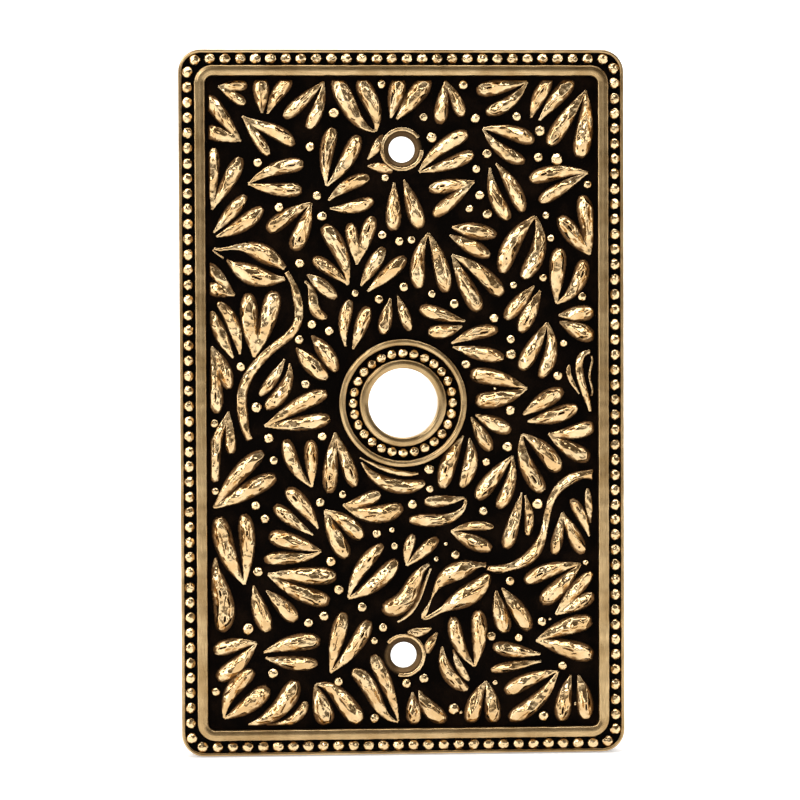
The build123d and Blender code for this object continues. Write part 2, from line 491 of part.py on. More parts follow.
os.makedirs("parts", exist_ok=True)

# Hollow back: a rim on the wall, and a web that carries everything else
with BuildPart() as back_tray:
    with BuildSketch(front_plane(0)):
        RectangleRounded(plate_width, plate_height, plate_corner_radius)
    extrude(amount=tray_depth)
    with BuildSketch(front_plane(0)):
        RectangleRounded(
            plate_width - 2 * rim_wall,
            plate_height - 2 * rim_wall,
            max(plate_corner_radius - rim_wall, 0.4),
        )
    extrude(amount=recess_depth, mode=Mode.SUBTRACT)
    with BuildSketch(front_plane(0)):
        Circle(bushing_radius)
        with Locations((0, screw_height), (0, -screw_height)):
            Circle(screw_hole_radius)
    extrude(amount=tray_depth, mode=Mode.SUBTRACT)
save(back_tray.part, "back_tray")

# Dark ground inside the moulding, dished round each screw hole
with BuildPart() as ground_panel:
    with BuildSketch(front_plane(tray_depth)):
        RectangleRounded(field_width, field_height, field_corner_radius)
        Circle(bushing_radius, mode=Mode.SUBTRACT)
    extrude(amount=ground_thickness)
    for height in (screw_height, -screw_height):
        with BuildSketch(front_plane(tray_depth)):
            with Locations((0, height)):
                Circle(screw_hole_radius)
        with BuildSketch(front_plane(ground_depth)):
            with Locations((0, height)):
                Circle(screw_dish_radius)
        loft(mode=Mode.SUBTRACT)
save(ground_panel.part, "ground_panel")

# Thin lip round the plate's edge
with BuildPart() as outer_lip:
    with BuildSketch(front_plane(tray_depth)):
        RectangleRounded(plate_width, plate_height, plate_corner_radius)
        RectangleRounded(
            plate_width - 2 * lip_width,
            plate_height - 2 * lip_width,
            plate_corner_radius - lip_width,
            mode=Mode.SUBTRACT,
        )
    extrude(amount=lip_rise)
    top = outer_lip.faces().sort_by(Axis.Y)[0]
    fillet(top.edges(), radius=lip_width * 0.4)
save(outer_lip.part, "outer_lip")

# Beads in the border channel, evenly spaced round its centre line
with BuildSketch() as bead_run:
    RectangleRounded(
        plate_width - 2 * bead_inset,
        plate_height - 2 * bead_inset,
        plate_corner_radius - bead_inset,
    )
bead_path = bead_run.face().outer_wire()
bead_count = round(bead_path.length / (2 * bead_radius + bead_gap))
with BuildPart(front_plane(tray_depth)) as border_beads:
    with Locations(*[bead_path @ (index / bead_count) for index in range(bead_count)]):
        bead(bead_radius)
save(border_beads.part, "border_beads")

# Raised frame moulding between the bead channel and the ground
with BuildPart() as frame_moulding:
    with BuildSketch(front_plane(tray_depth)):
        RectangleRounded(
            plate_width - 2 * moulding_inset,
            plate_height - 2 * moulding_inset,
            moulding_corner_radius,
        )
        RectangleRounded(field_width, field_height, field_corner_radius, mode=Mode.SUBTRACT)
    extrude(amount=moulding_rise)
    top = frame_moulding.faces().sort_by(Axis.Y)[0]
    chamfer(top.edges(), length=moulding_bevel)
save(frame_moulding.part, "frame_moulding")

# Bushing that lines the centre hole, through web and ground
with BuildPart() as centre_bushing:
    with BuildSketch(front_plane(recess_depth)):
        Circle(bushing_radius)
        Circle(bore_radius, mode=Mode.SUBTRACT)
    extrude(amount=ground_depth + bushing_rise - recess_depth)
    top = centre_bushing.faces().sort_by(Axis.Y)[0]
    fillet(top.edges(), radius=collar_round)
save(centre_bushing.part, "centre_bushing")

# Ring of beads between the bushing and the collar ring
with BuildPart(front_plane(ground_depth)) as collar_beads:
    with PolarLocations(collar_bead_circle, collar_bead_count):
        bead(collar_bead_radius)
save(collar_beads.part, "collar_beads")

with BuildPart() as collar_ring:
    with BuildSketch(front_plane(ground_depth)):
        Circle(collar_outer_radius)
        Circle(collar_inner_radius, mode=Mode.SUBTRACT)
    extrude(amount=collar_rise)
    top = collar_ring.faces().sort_by(Axis.Y)[0]
    fillet(top.edges(), radius=collar_round)
save(collar_ring.part, "collar_ring")


with BuildPart() as upper_screw_bezel:
    bezel(screw_height, upper_bezel_start, upper_bezel_sweep)
save(upper_screw_bezel.part, "upper_screw_bezel")

with BuildPart() as lower_screw_bezel:
    bezel(-screw_height, lower_bezel_start, lower_bezel_sweep)
save(lower_screw_bezel.part, "lower_screw_bezel")

for node, ridges in vines.items():
    with BuildPart() as ridge_work:
        for widths, points in ridges:
            vine(widths, points)
        trim_to_field(relief_width, relief_height)
    save(ridge_work.part, node)

for region, leaves in leaf_pairs.items():
    with BuildPart() as leaf_work:
        for shape in leaves:
            leaf(*shape)
        trim_to_field(relief_width, relief_height)
    save(leaf_work.part, f"{region}_leaves")

for node, beads in field_beads.items():
    with BuildPart(front_plane(ground_depth)) as bead_work:
        for x, z, radius in beads:
            with Locations(spread((x, z))):
                bead(radius * spread_size)
        trim_to_field(field_width, field_height)
    save(bead_work.part, node)
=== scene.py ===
"""Looks of the ornate cast wall plate cover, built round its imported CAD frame.

Everything is in metres in the frame of the CAD part: the front faces -Y, the long
side runs along Z and the wall is the plane y = 0.
"""

import itertools
import math

import bpy
import numpy as np
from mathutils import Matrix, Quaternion, Vector


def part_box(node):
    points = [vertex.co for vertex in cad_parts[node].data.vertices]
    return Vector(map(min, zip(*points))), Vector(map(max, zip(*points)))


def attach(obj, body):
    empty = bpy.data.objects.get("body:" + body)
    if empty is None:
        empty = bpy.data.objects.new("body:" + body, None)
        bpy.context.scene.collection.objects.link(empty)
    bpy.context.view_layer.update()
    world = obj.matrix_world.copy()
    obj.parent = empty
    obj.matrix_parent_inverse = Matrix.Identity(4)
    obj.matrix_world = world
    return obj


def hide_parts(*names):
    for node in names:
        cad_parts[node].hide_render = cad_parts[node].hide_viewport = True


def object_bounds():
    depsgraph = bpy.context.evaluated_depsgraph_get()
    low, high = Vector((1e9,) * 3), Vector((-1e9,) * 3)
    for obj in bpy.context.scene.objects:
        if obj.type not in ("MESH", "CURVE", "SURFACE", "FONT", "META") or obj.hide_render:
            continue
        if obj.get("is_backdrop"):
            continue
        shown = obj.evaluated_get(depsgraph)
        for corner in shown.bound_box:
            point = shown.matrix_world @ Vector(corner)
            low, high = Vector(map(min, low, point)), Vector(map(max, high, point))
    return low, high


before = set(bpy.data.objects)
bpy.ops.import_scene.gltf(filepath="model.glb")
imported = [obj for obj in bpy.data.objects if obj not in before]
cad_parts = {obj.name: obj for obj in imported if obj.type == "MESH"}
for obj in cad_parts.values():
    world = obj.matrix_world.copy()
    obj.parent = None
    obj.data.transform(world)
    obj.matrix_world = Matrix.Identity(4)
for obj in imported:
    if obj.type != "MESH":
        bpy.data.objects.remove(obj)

bl_info = {
    "name": "Cast wall plate cover",
    "version": (1, 0, 0),
    "blender": (4, 5, 0),
    "location": "3D View > Sidebar > Wall plate",
    "description": "Hammered leaf relief, beads, mouldings and antique gold finish of a wall plate cover",
    "category": "Object",
}

MM = 0.001
LEAF_NODES = sorted(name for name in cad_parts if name.endswith("_leaves"))
STEM_NODES = ["upper_vine_stem", "lower_vine_stem", "edge_tendril"]
SPLIT_NODES = ["upper_split_leaf", "lower_split_leaf", "upper_calyx", "lower_calyx"]
BEZEL_NODES = ["upper_screw_bezel", "lower_screw_bezel"]
FIELD_BEAD_NODES = ["upper_field_beads", "middle_field_beads", "lower_field_beads"]
GROUND_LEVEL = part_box("ground_panel")[0].y
CHANNEL_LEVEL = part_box("back_tray")[0].y
SCREW_PLACE = 41.67 * MM  # height of the upper screw axis over the plate's middle
SUNK = 0.05 * MM  # how far beads and bars reach into what they stand on
RELIEF_SUNK = 0.06 * MM  # how far the relief reaches into the ground
RIM_FINISH = 1.2 * MM  # how far in from the outside the rim's finish ends
DISH_EDGE = (2.7 * MM, 3.4 * MM)  # where the bronze round a screw axis fades out
FACE_SPECULAR = 0.05  # keeps the blackened places from shining

# On the relief, in millimetres.
LEAST_HEIGHT = 0.02  # what stands lower is ground
RUN_REACH = 0.55  # half the width over which a leaf's run is found
CREST_REACH = 0.45  # half the width over which a crest is found
WIDEST_HALF = 2.0  # no leaf's edge is further than this from its middle
CREST_LIMITS = (0.1, 1.55)
FULL_CREST = 1.1  # a crest this high has the full skirt
BELLY_CALM = 0.3  # half the width of the blur before the bellies are sought
BELLY_REACH = 1.3  # a belly is the highest point for this far round about
BELLY_HEIGHT = 0.45  # the lowest belly that is marked
LEAF_READINGS = (2.2, 3.2)  # where a leaf is read on both sides of its belly
MARK_REACH = 4.0  # how far from a belly its marks may reach
RIM_HEIGHT = 0.05  # metal thrown up round a mark
OVER_NODE = 0.08  # the most that hammering adds to a node's own height

# Shares of the leaves that get each mark.
SLOT_CHANCE, PIT_CHANCE, GROOVE_CHANCE = 0.25, 0.5, 0.45

# Points round each curve, and the distance between them along the straights.
ROUNDING_POINTS, CROWN_POINTS, CORNER_POINTS, CIRCLE_POINTS = 6, 8, 14, 180
PATH_STEP = 0.45 * MM

# Each light's name, place, width and height in metres, and brightness.
LIGHTS = (
    ("key", (-0.40, -0.50, 0.42), (0.30, 0.30), 5.2),
    ("left", (-0.62, -0.20, 0.12), (0.22, 0.8), 4.4),
    ("right", (0.62, -0.24, 0.10), (0.20, 0.7), 2.2),
    ("top", (0.0, -0.17, 0.62), (0.85, 0.24), 4.4),
    ("front", (0.05, -1.15, 0.10), (0.7, 0.7), 0.38),
    ("backdrop", (0.0, 0.45, 0.9), (1.6, 0.5), 9.0),
)
BACKDROP_AIM = Vector((0.0, 1.5, 0.1))
CAMERA_AIM = Vector((-0.00012, 0.0, 0.00031))


# ---- shader maths


class Wire:
    """A shader socket that takes part in sums: each operator adds one Math node."""

    def __init__(self, finish, socket):
        self.finish = finish
        self.socket = socket

    def math(self, operation, *others):
        """This socket and others through one Math node."""
        values = dict(enumerate((self, *others)))
        return self.finish.add("ShaderNodeMath", {"operation": operation}, values)

    def __add__(self, other):
        return self.math("ADD", other)

    __radd__ = __add__

    def __mul__(self, other):
        return self.math("MULTIPLY", other)

    __rmul__ = __mul__

    def __sub__(self, other):
        return self.math("SUBTRACT", other)

    def __rsub__(self, other):
        return self.finish.add("ShaderNodeMath", {"operation": "SUBTRACT"}, {0: other, 1: self})

    def step(self, low, high):
        """0 below low, 1 above high and smooth between them."""
        settings = {"interpolation_type": "SMOOTHSTEP"}
        return self.finish.add(
            "ShaderNodeMapRange", settings, {"Value": self, "From Min": low, "From Max": high}
        )


class Finish:
    """A procedural material with one Principled shader."""

    def __init__(self, name):
        self.material = bpy.data.materials.new(name)
        self.material.use_nodes = True
        self.tree = self.material.node_tree
        self.tree.nodes.clear()
        self.place = self.add("ShaderNodeTexCoord", {}, {}, "Object")

    def add(self, kind, settings, sockets, output=0):
        """Adds a node: its settings, then its sockets' values or wires. Gives one output."""
        node = self.tree.nodes.new(kind)
        for key, value in settings.items():
            setattr(node, key, value)
        for key, value in sockets.items():
            socket = self.find(node.inputs, key)
            if isinstance(value, Wire):
                self.tree.links.new(value.socket, socket)
            elif socket.type == "RGBA":
                socket.default_value = (*value, 1.0)
            else:
                socket.default_value = value
        if not node.outputs:
            return node
        return Wire(self, self.find(node.outputs, output))

    @staticmethod
    def find(sockets, key):
        """A socket by its place, identifier or name."""
        named = [socket for socket in sockets if socket.identifier == key]
        return named[0] if named else sockets[key]

    def mix(self, factor, first, second):
        """The first colour where factor is 0 and the second where it is 1."""
        return self.add(
            "ShaderNodeMix",
            {"data_type": "RGBA"},
            {"Factor_Float": factor, "A_Color": first, "B_Color": second},
            "Result_Color",
        )

    def axes(self):
        """The places along X, Y and Z, in metres."""
        split = self.add("ShaderNodeSeparateXYZ", {}, {"Vector": self.place}).socket.node
        return [Wire(self, split.outputs[name]) for name in "XYZ"]

    def noise(self, size, detail=2.0, roughness=0.55):
        """Cloudy noise from 0 to 1 whose blotches are about this size across, in metres."""
        sockets = {
            "Vector": self.place, "Scale": 1.0 / size, "Detail": detail, "Roughness": roughness,
        }
        return self.add("ShaderNodeTexNoise", {}, sockets, "Fac")

    def cells(self, size, place=None):
        """Distance to the nearest of scattered points that stand about this far apart."""
        sockets = {"Vector": place or self.place, "Scale": 1.0 / size}
        return self.add("ShaderNodeTexVoronoi", {}, sockets, "Distance")

    def stretched(self, name, factors):
        """A piece's own UV map, stretched by these factors."""
        flat = self.add("ShaderNodeUVMap", {"uv_map": name}, {})
        return self.add("ShaderNodeMapping", {}, {"Vector": flat, "Scale": factors})

    def attribute(self, name):
        """A number held at each point of a piece."""
        return self.add("ShaderNodeAttribute", {"attribute_name": name}, {}, "Fac")

    def bump(self, height, distance, strength):
        """Normals of a surface raised by this height, from 0 to 1, times the distance."""
        sockets = {"Height": height, "Distance": distance, "Strength": strength}
        return self.add("ShaderNodeBump", {}, sockets)

    def layers(self, tint, *layers):
        """The tint under layers of (how much covers it, colour), the last one on top."""
        for cover, layer in layers:
            tint = self.mix(cover, tint, layer)
        return tint

    def done(self, **sockets):
        """Ends the material in a Principled shader with these sockets."""
        sockets = {"Specular_IOR_Level": FACE_SPECULAR, **sockets}
        named = {key.replace("_", " "): value for key, value in sockets.items()}
        shader = self.add("ShaderNodeBsdfPrincipled", {}, named)
        self.add("ShaderNodeOutputMaterial", {}, {"Surface": shader})
        return self.material


def relief_gold(colours):
    """Polished antique gold: bright crests, brown flanks and black in the hollows. The brown and black
    come from patina and also paint shade in the facet valleys and on the leaf skirts.
    """
    finish = Finish("polished_relief")
    cloud = finish.noise(3.2 * MM, 3.0)
    fleck = finish.noise(0.55 * MM, 3.0, 0.6)
    fine = finish.noise(0.2 * MM, 2.0, 0.6)
    worn_and_shaded = finish.attribute("patina_and_painted_shade") + (fleck - 0.5) * 0.28
    brown = worn_and_shaded.step(0.18, 0.62)
    black = worn_and_shaded.step(0.5, 0.95)
    tint = finish.layers(
        colours.gold, (cloud.step(0.35, 0.68), colours.gold_light),
        (brown, colours.brown), (black, colours.black),
    )
    warped = finish.add(
        "ShaderNodeVectorMath", {"operation": "MULTIPLY_ADD"},
        {0: finish.noise(1.6 * MM, 1.0), 1: (0.7 * MM, 0.0, 0.7 * MM), 2: finish.place},
    )
    planes = finish.cells(1.15 * MM, warped)
    dents = planes * 1.6 + fleck * 0.25 + fine * 0.08
    return finish.done(
        Base_Color=tint,
        Metallic=1.0 - black,
        Roughness=cloud * 0.1 + fine * 0.06 + brown * 0.2 + black * 0.25 + 0.1,
        Normal=finish.bump(dents, 0.11 * MM, 0.75),
    )


def bead_gold(colours):
    """Polished gold of the beads, pecked into a few flats, with patina round the foot and a painted dark
    reflection on some beads' tops.
    """
    finish = Finish("polished_beads")
    cloud = finish.noise(2.6 * MM, 2.0)
    flats = finish.cells(0.62 * MM)
    fine = finish.noise(0.22 * MM, 2.0, 0.6)
    worn_and_shaded = finish.attribute("patina_and_painted_shade") + (fine - 0.5) * 0.3
    brown = worn_and_shaded.step(0.2, 0.6)
    black = worn_and_shaded.step(0.55, 0.95)
    tint = finish.layers(
        colours.gold, (cloud.step(0.2, 0.5), colours.gold_light),
        (brown, colours.brown), (black, colours.black),
    )
    return finish.done(
        Base_Color=tint,
        Metallic=1.0 - black,
        Roughness=cloud * 0.08 + brown * 0.15 + black * 0.2 + 0.12,
        Normal=finish.bump(flats + fine * 0.15, 0.16 * MM, 0.8),
    )


def satin_gold(colours):
    """Satin champagne gold with fine scratches along it, flecks and dark feet."""
    finish = Finish("satin_mouldings")
    cloud = finish.noise(5.0 * MM, 3.0)
    speck = finish.noise(0.35 * MM, 4.0, 0.65)
    along = finish.stretched("along", (0.35, 6.0, 1.0))
    streak = finish.add(
        "ShaderNodeTexNoise", {}, {"Vector": along, "Scale": 1.0, "Detail": 3.0}, "Fac"
    )
    worn_and_shaded = finish.attribute("patina_and_painted_shade") + (speck - 0.5) * 0.35
    brown = worn_and_shaded.step(0.25, 0.7)
    black = worn_and_shaded.step(0.6, 1.0)
    pits = (speck * 0.65 + streak * 0.35).step(0.57, 0.70)
    tint = finish.layers(
        colours.satin, (cloud.step(0.3, 0.7), colours.satin_dark),
        (streak.step(0.42, 0.62) * 0.45, colours.satin_dark),
        (brown, colours.brown), (pits * 0.75, colours.brown), (black, colours.black),
    )
    return finish.done(
        Base_Color=tint,
        Metallic=1.0 - black,
        Roughness=streak * 0.16 + pits * 0.25 + brown * 0.15 + 0.2,
        Normal=finish.bump(speck * 0.4 + streak * 0.6 - pits * 0.5, 0.03 * MM, 0.7),
    )


def dark_ground(colours):
    """Blackened ground between the leaves, rubbed back to bronze in both screw dishes.

    The rubbed share falls with the distance from the nearer screw axis.
    """
    finish = Finish("blackened_ground")
    cloud = finish.noise(4.0 * MM, 4.0)
    grit = finish.noise(0.3 * MM, 3.0, 0.6)
    x, _, z = finish.axes()
    aside = z.math("ABSOLUTE") - SCREW_PLACE
    away = (x * x + aside * aside).math("SQRT") + (grit - 0.5) * 0.5 * MM
    rubbed = 1.0 - away.step(*DISH_EDGE)
    paler = (cloud + grit * 0.4).step(0.62, 0.95)
    tint = finish.layers(colours.black, (paler, colours.ground_brown), (rubbed, colours.bronze))
    return finish.done(
        Base_Color=tint,
        Metallic=rubbed,
        Roughness=grit * 0.2 + 0.55 - rubbed * 0.25,
        Normal=finish.bump(cloud * 0.4 + grit * 0.6, 0.05 * MM, 0.8),
        Specular_IOR_Level=0.02,
    )


def tray_finish(colours):
    """Black channel floor in front, antique gold sides and a dull cast back.

    The three are told apart by depth, and the back from the rim by how far in it is.
    """
    finish = Finish("cast_tray")
    rim_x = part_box("back_tray")[1].x - RIM_FINISH
    rim_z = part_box("back_tray")[1].z - RIM_FINISH
    x, y, z = finish.axes()
    cloud = finish.noise(6.0 * MM, 4.0)
    grit = finish.noise(0.4 * MM, 4.0, 0.65)
    channel = 1.0 - y.step(CHANNEL_LEVEL + 0.04 * MM, CHANNEL_LEVEL + 0.3 * MM)
    past_rim = (x.math("ABSOLUTE") - rim_x).math("MAXIMUM", z.math("ABSOLUTE") - rim_z)
    inside = 1.0 - past_rim.step(-0.2 * MM, 0.2 * MM)
    sides = finish.mix((cloud + grit * 0.5).step(0.5, 0.95), colours.satin_dark, colours.brown)
    back = finish.mix((cloud * 0.7 + grit * 0.5).step(0.4, 0.8), colours.cast, colours.cast_dark)
    tint = finish.layers(sides, (inside, back), (channel, colours.black))
    return finish.done(
        Base_Color=tint,
        Metallic=1.0 - channel,
        Roughness=inside * 0.22 + channel * 0.2 + grit * 0.14 + 0.26,
        Normal=finish.bump(grit * 0.5 + cloud * 0.5, 0.07 * MM, 0.8),
    )


# ---- surfaces


def soft_step(value, low, high):
    """0 below low, 1 above high: t squared times (3 - 2t) between them."""
    t = np.clip((value - low) / (high - low), 0.0, 1.0)
    return t * t * (3.0 - 2.0 * t)


def scatter(column, row, seed):
    """A repeatable random number from 0 to 1 for each whole-numbered lattice point.

    It is the fraction of a large multiple of the sine of a weighted sum.
    """
    mixed = np.sin(column * 127.1 + row * 311.7 + seed * 74.7) * 43758.5453
    return mixed - np.floor(mixed)


def wander(position, size, seed):
    """Smooth noise from -1 to 1 along a line: lattice values joined by soft steps."""
    scaled = position / size
    cell = np.floor(scaled)
    t = soft_step(scaled - cell, 0.0, 1.0)
    first, second = scatter(cell, 0.0, seed), scatter(cell + 1.0, 0.0, seed)
    return 2.0 * (first + (second - first) * t) - 1.0


def blur(field, cells, rounds=2):
    """Box blur of this half-width, done along both axes as differences of running sums."""
    width = 2 * cells + 1
    for _ in range(rounds):
        for axis in (0, 1):
            edges = [(0, 0), (0, 0)]
            edges[axis] = (cells + 1, cells)
            total = np.cumsum(np.pad(field, edges, mode="edge"), axis=axis)
            ahead, behind = [slice(None)] * 2, [slice(None)] * 2
            ahead[axis], behind[axis] = slice(width, None), slice(None, -width)
            field = (total[tuple(ahead)] - total[tuple(behind)]) / width
    return field


def depth_inside(mask, reach):
    """Distance in cells from each point of the mask to the nearest one outside it.

    First along the rows, then the least of row distance squared plus step squared.
    """
    place = np.arange(mask.shape[1])
    far = 4 * reach
    before = np.maximum.accumulate(np.where(mask, -far, place), axis=1)
    after = np.minimum.accumulate(np.where(mask, place[-1] + far, place)[:, ::-1], axis=1)[:, ::-1]
    row = np.minimum(place - before, after - place).astype(float) ** 2
    least = row.copy()
    for step in range(1, reach + 1):
        least[step:] = np.minimum(least[step:], row[:-step] + step * step)
        least[:-step] = np.minimum(least[:-step], row[step:] + step * step)
    return np.sqrt(least)


def new_mesh(name, points, faces):
    """A mesh from an array of points and an array of faces that all have as many corners."""
    mesh = bpy.data.meshes.new(name)
    count, corners = faces.shape
    mesh.vertices.add(len(points))
    mesh.vertices.foreach_set("co", points.astype(np.float32).ravel())
    mesh.loops.add(count * corners)
    mesh.loops.foreach_set("vertex_index", faces.astype(np.int32).ravel())
    mesh.polygons.add(count)
    mesh.polygons.foreach_set("loop_start", np.arange(count, dtype=np.int32) * corners)
    mesh.update(calc_edges=True)
    mesh.shade_smooth()
    return mesh


def outward(points, faces):
    """The faces, turned round if the closed surface has its volume inside out."""
    corners = points[faces]
    fans = range(1, faces.shape[1] - 1)
    volume = sum((corners[:, 0] * np.cross(corners[:, k], corners[:, k + 1])).sum() for k in fans)
    return faces if volume > 0 else faces[:, ::-1]


def new_piece(name, points, faces, finish, node, patina_and_painted_shade):
    """A finished piece in place of a CAD node, with how dark patina and painted shade make each point."""
    mesh = new_mesh(name, points, faces)
    worn_and_shaded = mesh.attributes.new("patina_and_painted_shade", "FLOAT", "POINT")
    worn_and_shaded.data.foreach_set("value", patina_and_painted_shade.astype(np.float32).ravel())
    mesh.materials.append(finish_named(finish))
    piece = bpy.data.objects.new(name, mesh)
    bpy.context.scene.collection.objects.link(piece)
    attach(piece, "root")
    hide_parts(node)
    return piece


def finish_named(name):
    """A material of the plate, made on first use."""
    makers = {
        "polished_relief": relief_gold,
        "polished_beads": bead_gold,
        "satin_mouldings": satin_gold,
        "blackened_ground": dark_ground,
        "cast_tray": tray_finish,
    }
    return bpy.data.materials.get(name) or makers[name](bpy.context.scene.plate_colours)


def node_heights(node, cell):
    """How high a node stands over the ground on a grid of this cell, in millimetres.

    A sheet of points in front of the node is pressed back along Y onto its surface.
    """
    low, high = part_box(node)
    margin = 4 * cell
    across = np.arange(low.x / MM - margin, high.x / MM + margin, cell)
    up = np.arange(low.z / MM - margin, high.z / MM + margin, cell)
    x, z = np.meshgrid(across, up)
    start = low.y - 5 * MM
    points = np.stack([x * MM, np.full(x.shape, start), z * MM], -1).reshape(-1, 3)
    sheet = bpy.data.meshes.new("pressed_sheet")
    sheet.vertices.add(len(points))
    sheet.vertices.foreach_set("co", points.astype(np.float32).ravel())
    press = bpy.data.objects.new("pressed_sheet", sheet)
    bpy.context.scene.collection.objects.link(press)
    wrap = press.modifiers.new("press", "SHRINKWRAP")
    wrap.wrap_method = "PROJECT"
    wrap.use_project_y = True
    wrap.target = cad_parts[node]
    pressed = press.evaluated_get(bpy.context.evaluated_depsgraph_get())
    found = np.empty(len(points) * 3, np.float32)
    pressed.data.vertices.foreach_get("co", found)
    depth = found.reshape(-1, 3)[:, 1].reshape(x.shape).astype(float)
    bpy.data.objects.remove(press)
    bpy.data.meshes.remove(sheet)
    touched = depth > start + 0.5 * MM
    height = np.where(touched, (GROUND_LEVEL - depth) / MM, 0.0)
    return x, z, np.where(height > LEAST_HEIGHT, height, 0.0)


def leaf_run(height, cell):
    """Which way the leaves run at each point, as (x, z) parts of a unit vector.

    The slopes' products are blurred, and the run is square to their strongest way.
    """
    slope_z, slope_x = np.gradient(height, cell)
    reach = max(1, round(RUN_REACH / cell))
    xx = blur(slope_x * slope_x, reach)
    xz = blur(slope_x * slope_z, reach)
    zz = blur(slope_z * slope_z, reach)
    steepest = 0.5 * np.arctan2(2.0 * xz, xx - zz)
    return -np.sin(steepest), np.cos(steepest)


def crest_height(height, cell):
    """Height of the nearest crest, from height and depth inside the edge of a half-round.

    A half-round of radius R has height squared = 2 R e - e squared at e inside its edge.
    R is averaged round about, with more weight the further inside it was found.
    """
    reach = max(2, round(CREST_REACH / cell))
    inside = depth_inside(height > 0.0, round(WIDEST_HALF / cell))
    inside = np.maximum(inside - 0.5, 0.0) * cell
    radius = (height**2 + inside**2) / np.maximum(2.0 * inside, 0.2 * cell)
    radius = np.clip(radius, *CREST_LIMITS)
    weight = inside**2 + 1e-6
    return np.maximum(blur(radius * weight, reach) / blur(weight, reach), height)


def hammer_blows(x, z, run_x, run_z, cell, length, width, seed):
    """Shallow facets: each point's distance squared to its nearest blow, from 0 to 1.

    Blows stand on a shaken lattice. A blow reaches its length along the leaf's run and
    its width across it, and is lifted by up to a quarter.
    """
    pitch = 0.5 * (length + width)
    column, row = np.floor(x / pitch), np.floor(z / pitch)
    nearest = np.ones(x.shape)
    for step_row, step_column in itertools.product(range(-2, 3), repeat=2):
        c, r = column + step_column, row + step_row
        blow_x = (c + 0.15 + 0.7 * scatter(c, r, seed)) * pitch
        blow_z = (r + 0.15 + 0.7 * scatter(c, r, seed + 1.0)) * pitch
        i = np.clip(((blow_z - z[0, 0]) / cell).astype(int), 0, x.shape[0] - 1)
        j = np.clip(((blow_x - x[0, 0]) / cell).astype(int), 0, x.shape[1] - 1)
        along_x, along_z = run_x[i, j], run_z[i, j]
        off_x, off_z = x - blow_x, z - blow_z
        along = (off_x * along_x + off_z * along_z) / length
        across = (off_x * along_z - off_z * along_x) / width
        lift = 0.25 * scatter(c, r, seed + 2.0)
        nearest = np.minimum(nearest, along**2 + across**2 + lift)
    return nearest


def bellies(x, z, height, run_x, run_z, cell):
    """The widest place of each leaf: its position, its run to the round end and height.

    These are the highest points of the blurred heights for some way round about. The
    round end is on the side where the leaf falls away sooner.
    """
    calm = blur(height, max(1, round(BELLY_CALM / cell)))
    reach = round(BELLY_REACH / cell)
    highest = calm
    for axis in (0, 1):
        taller = highest.copy()
        for step in range(1, reach + 1):
            taller = np.maximum(taller, np.roll(highest, step, axis))
            taller = np.maximum(taller, np.roll(highest, -step, axis))
        highest = taller
    i, j = np.nonzero((calm >= highest) & (calm > BELLY_HEIGHT))
    along_x, along_z = run_x[i, j], run_z[i, j]

    def readings(side):
        total = 0.0
        for distance in LEAF_READINGS:
            down = np.round(along_z * side * distance / cell).astype(int)
            aside = np.round(along_x * side * distance / cell).astype(int)
            row = np.clip(i + down, 0, x.shape[0] - 1)
            column = np.clip(j + aside, 0, x.shape[1] - 1)
            total = total + calm[row, column]
        return total

    turn = np.where(readings(1.0) > readings(-1.0), -1.0, 1.0)
    return x[i, j], z[i, j], along_x * turn, along_z * turn, calm[i, j]


def window(line, middle, cell):
    """The slice of an even line of grid points that a mark about its middle can reach."""
    start = int((middle - line[0] - MARK_REACH) / cell)
    return slice(max(0, start), int((middle - line[0] + MARK_REACH) / cell) + 1)


def chased_marks(x, z, height, run_x, run_z, cell, seed):
    """Slots, pits and centre grooves chased into the leaves: (cut, raised rim).

    Each mark is a bell about its place: exp of minus the sum of (along / length) to the
    fourth and (across / width) squared. Its rim is a thin bell about the mark's edge.
    Places and depths are shares of the belly's height.
    """
    cut, rim = np.zeros(x.shape), np.zeros(x.shape)
    for px, pz, ax, az, top in zip(*bellies(x, z, height, run_x, run_z, cell)):
        chance = scatter(np.arange(8.0), px * 3.7 + pz * 1.9, seed)
        marks = []  # each is forward, aside, length, width, depth
        if chance[0] < SLOT_CHANCE:
            forward, aside = 0.1 + 0.4 * chance[1], (chance[2] - 0.5) * 0.35
            marks.append((forward, aside, 0.35 + 0.45 * chance[3], 0.15, 0.42))
        if chance[4] < PIT_CHANCE:
            marks.append((0.95, (chance[5] - 0.5) * 0.5, 0.15, 0.13, 0.3))
        if chance[6] < GROOVE_CHANCE:
            forward, aside = -1.5 - 0.8 * chance[5], (chance[7] - 0.5) * 0.3
            marks.append((forward, aside, 0.9 + 0.6 * chance[1], 0.12, 0.2))
        near = window(z[:, 0], pz, cell), window(x[0], px, cell)
        off_x, off_z = x[near] - px, z[near] - pz
        along, across = off_x * ax + off_z * az, off_x * az - off_z * ax
        for forward, aside, length, width, depth in marks:
            u = (along - forward * top) / length
            v = (across - aside * top) / width
            edge = (np.sqrt(u * u + v * v) - 1.5) / 0.4
            cut[near] = np.maximum(cut[near], depth * top * np.exp(-(u**4 + v * v)))
            rim[near] = np.maximum(rim[near], RIM_HEIGHT * np.exp(-(edge**2)))
    return cut, rim


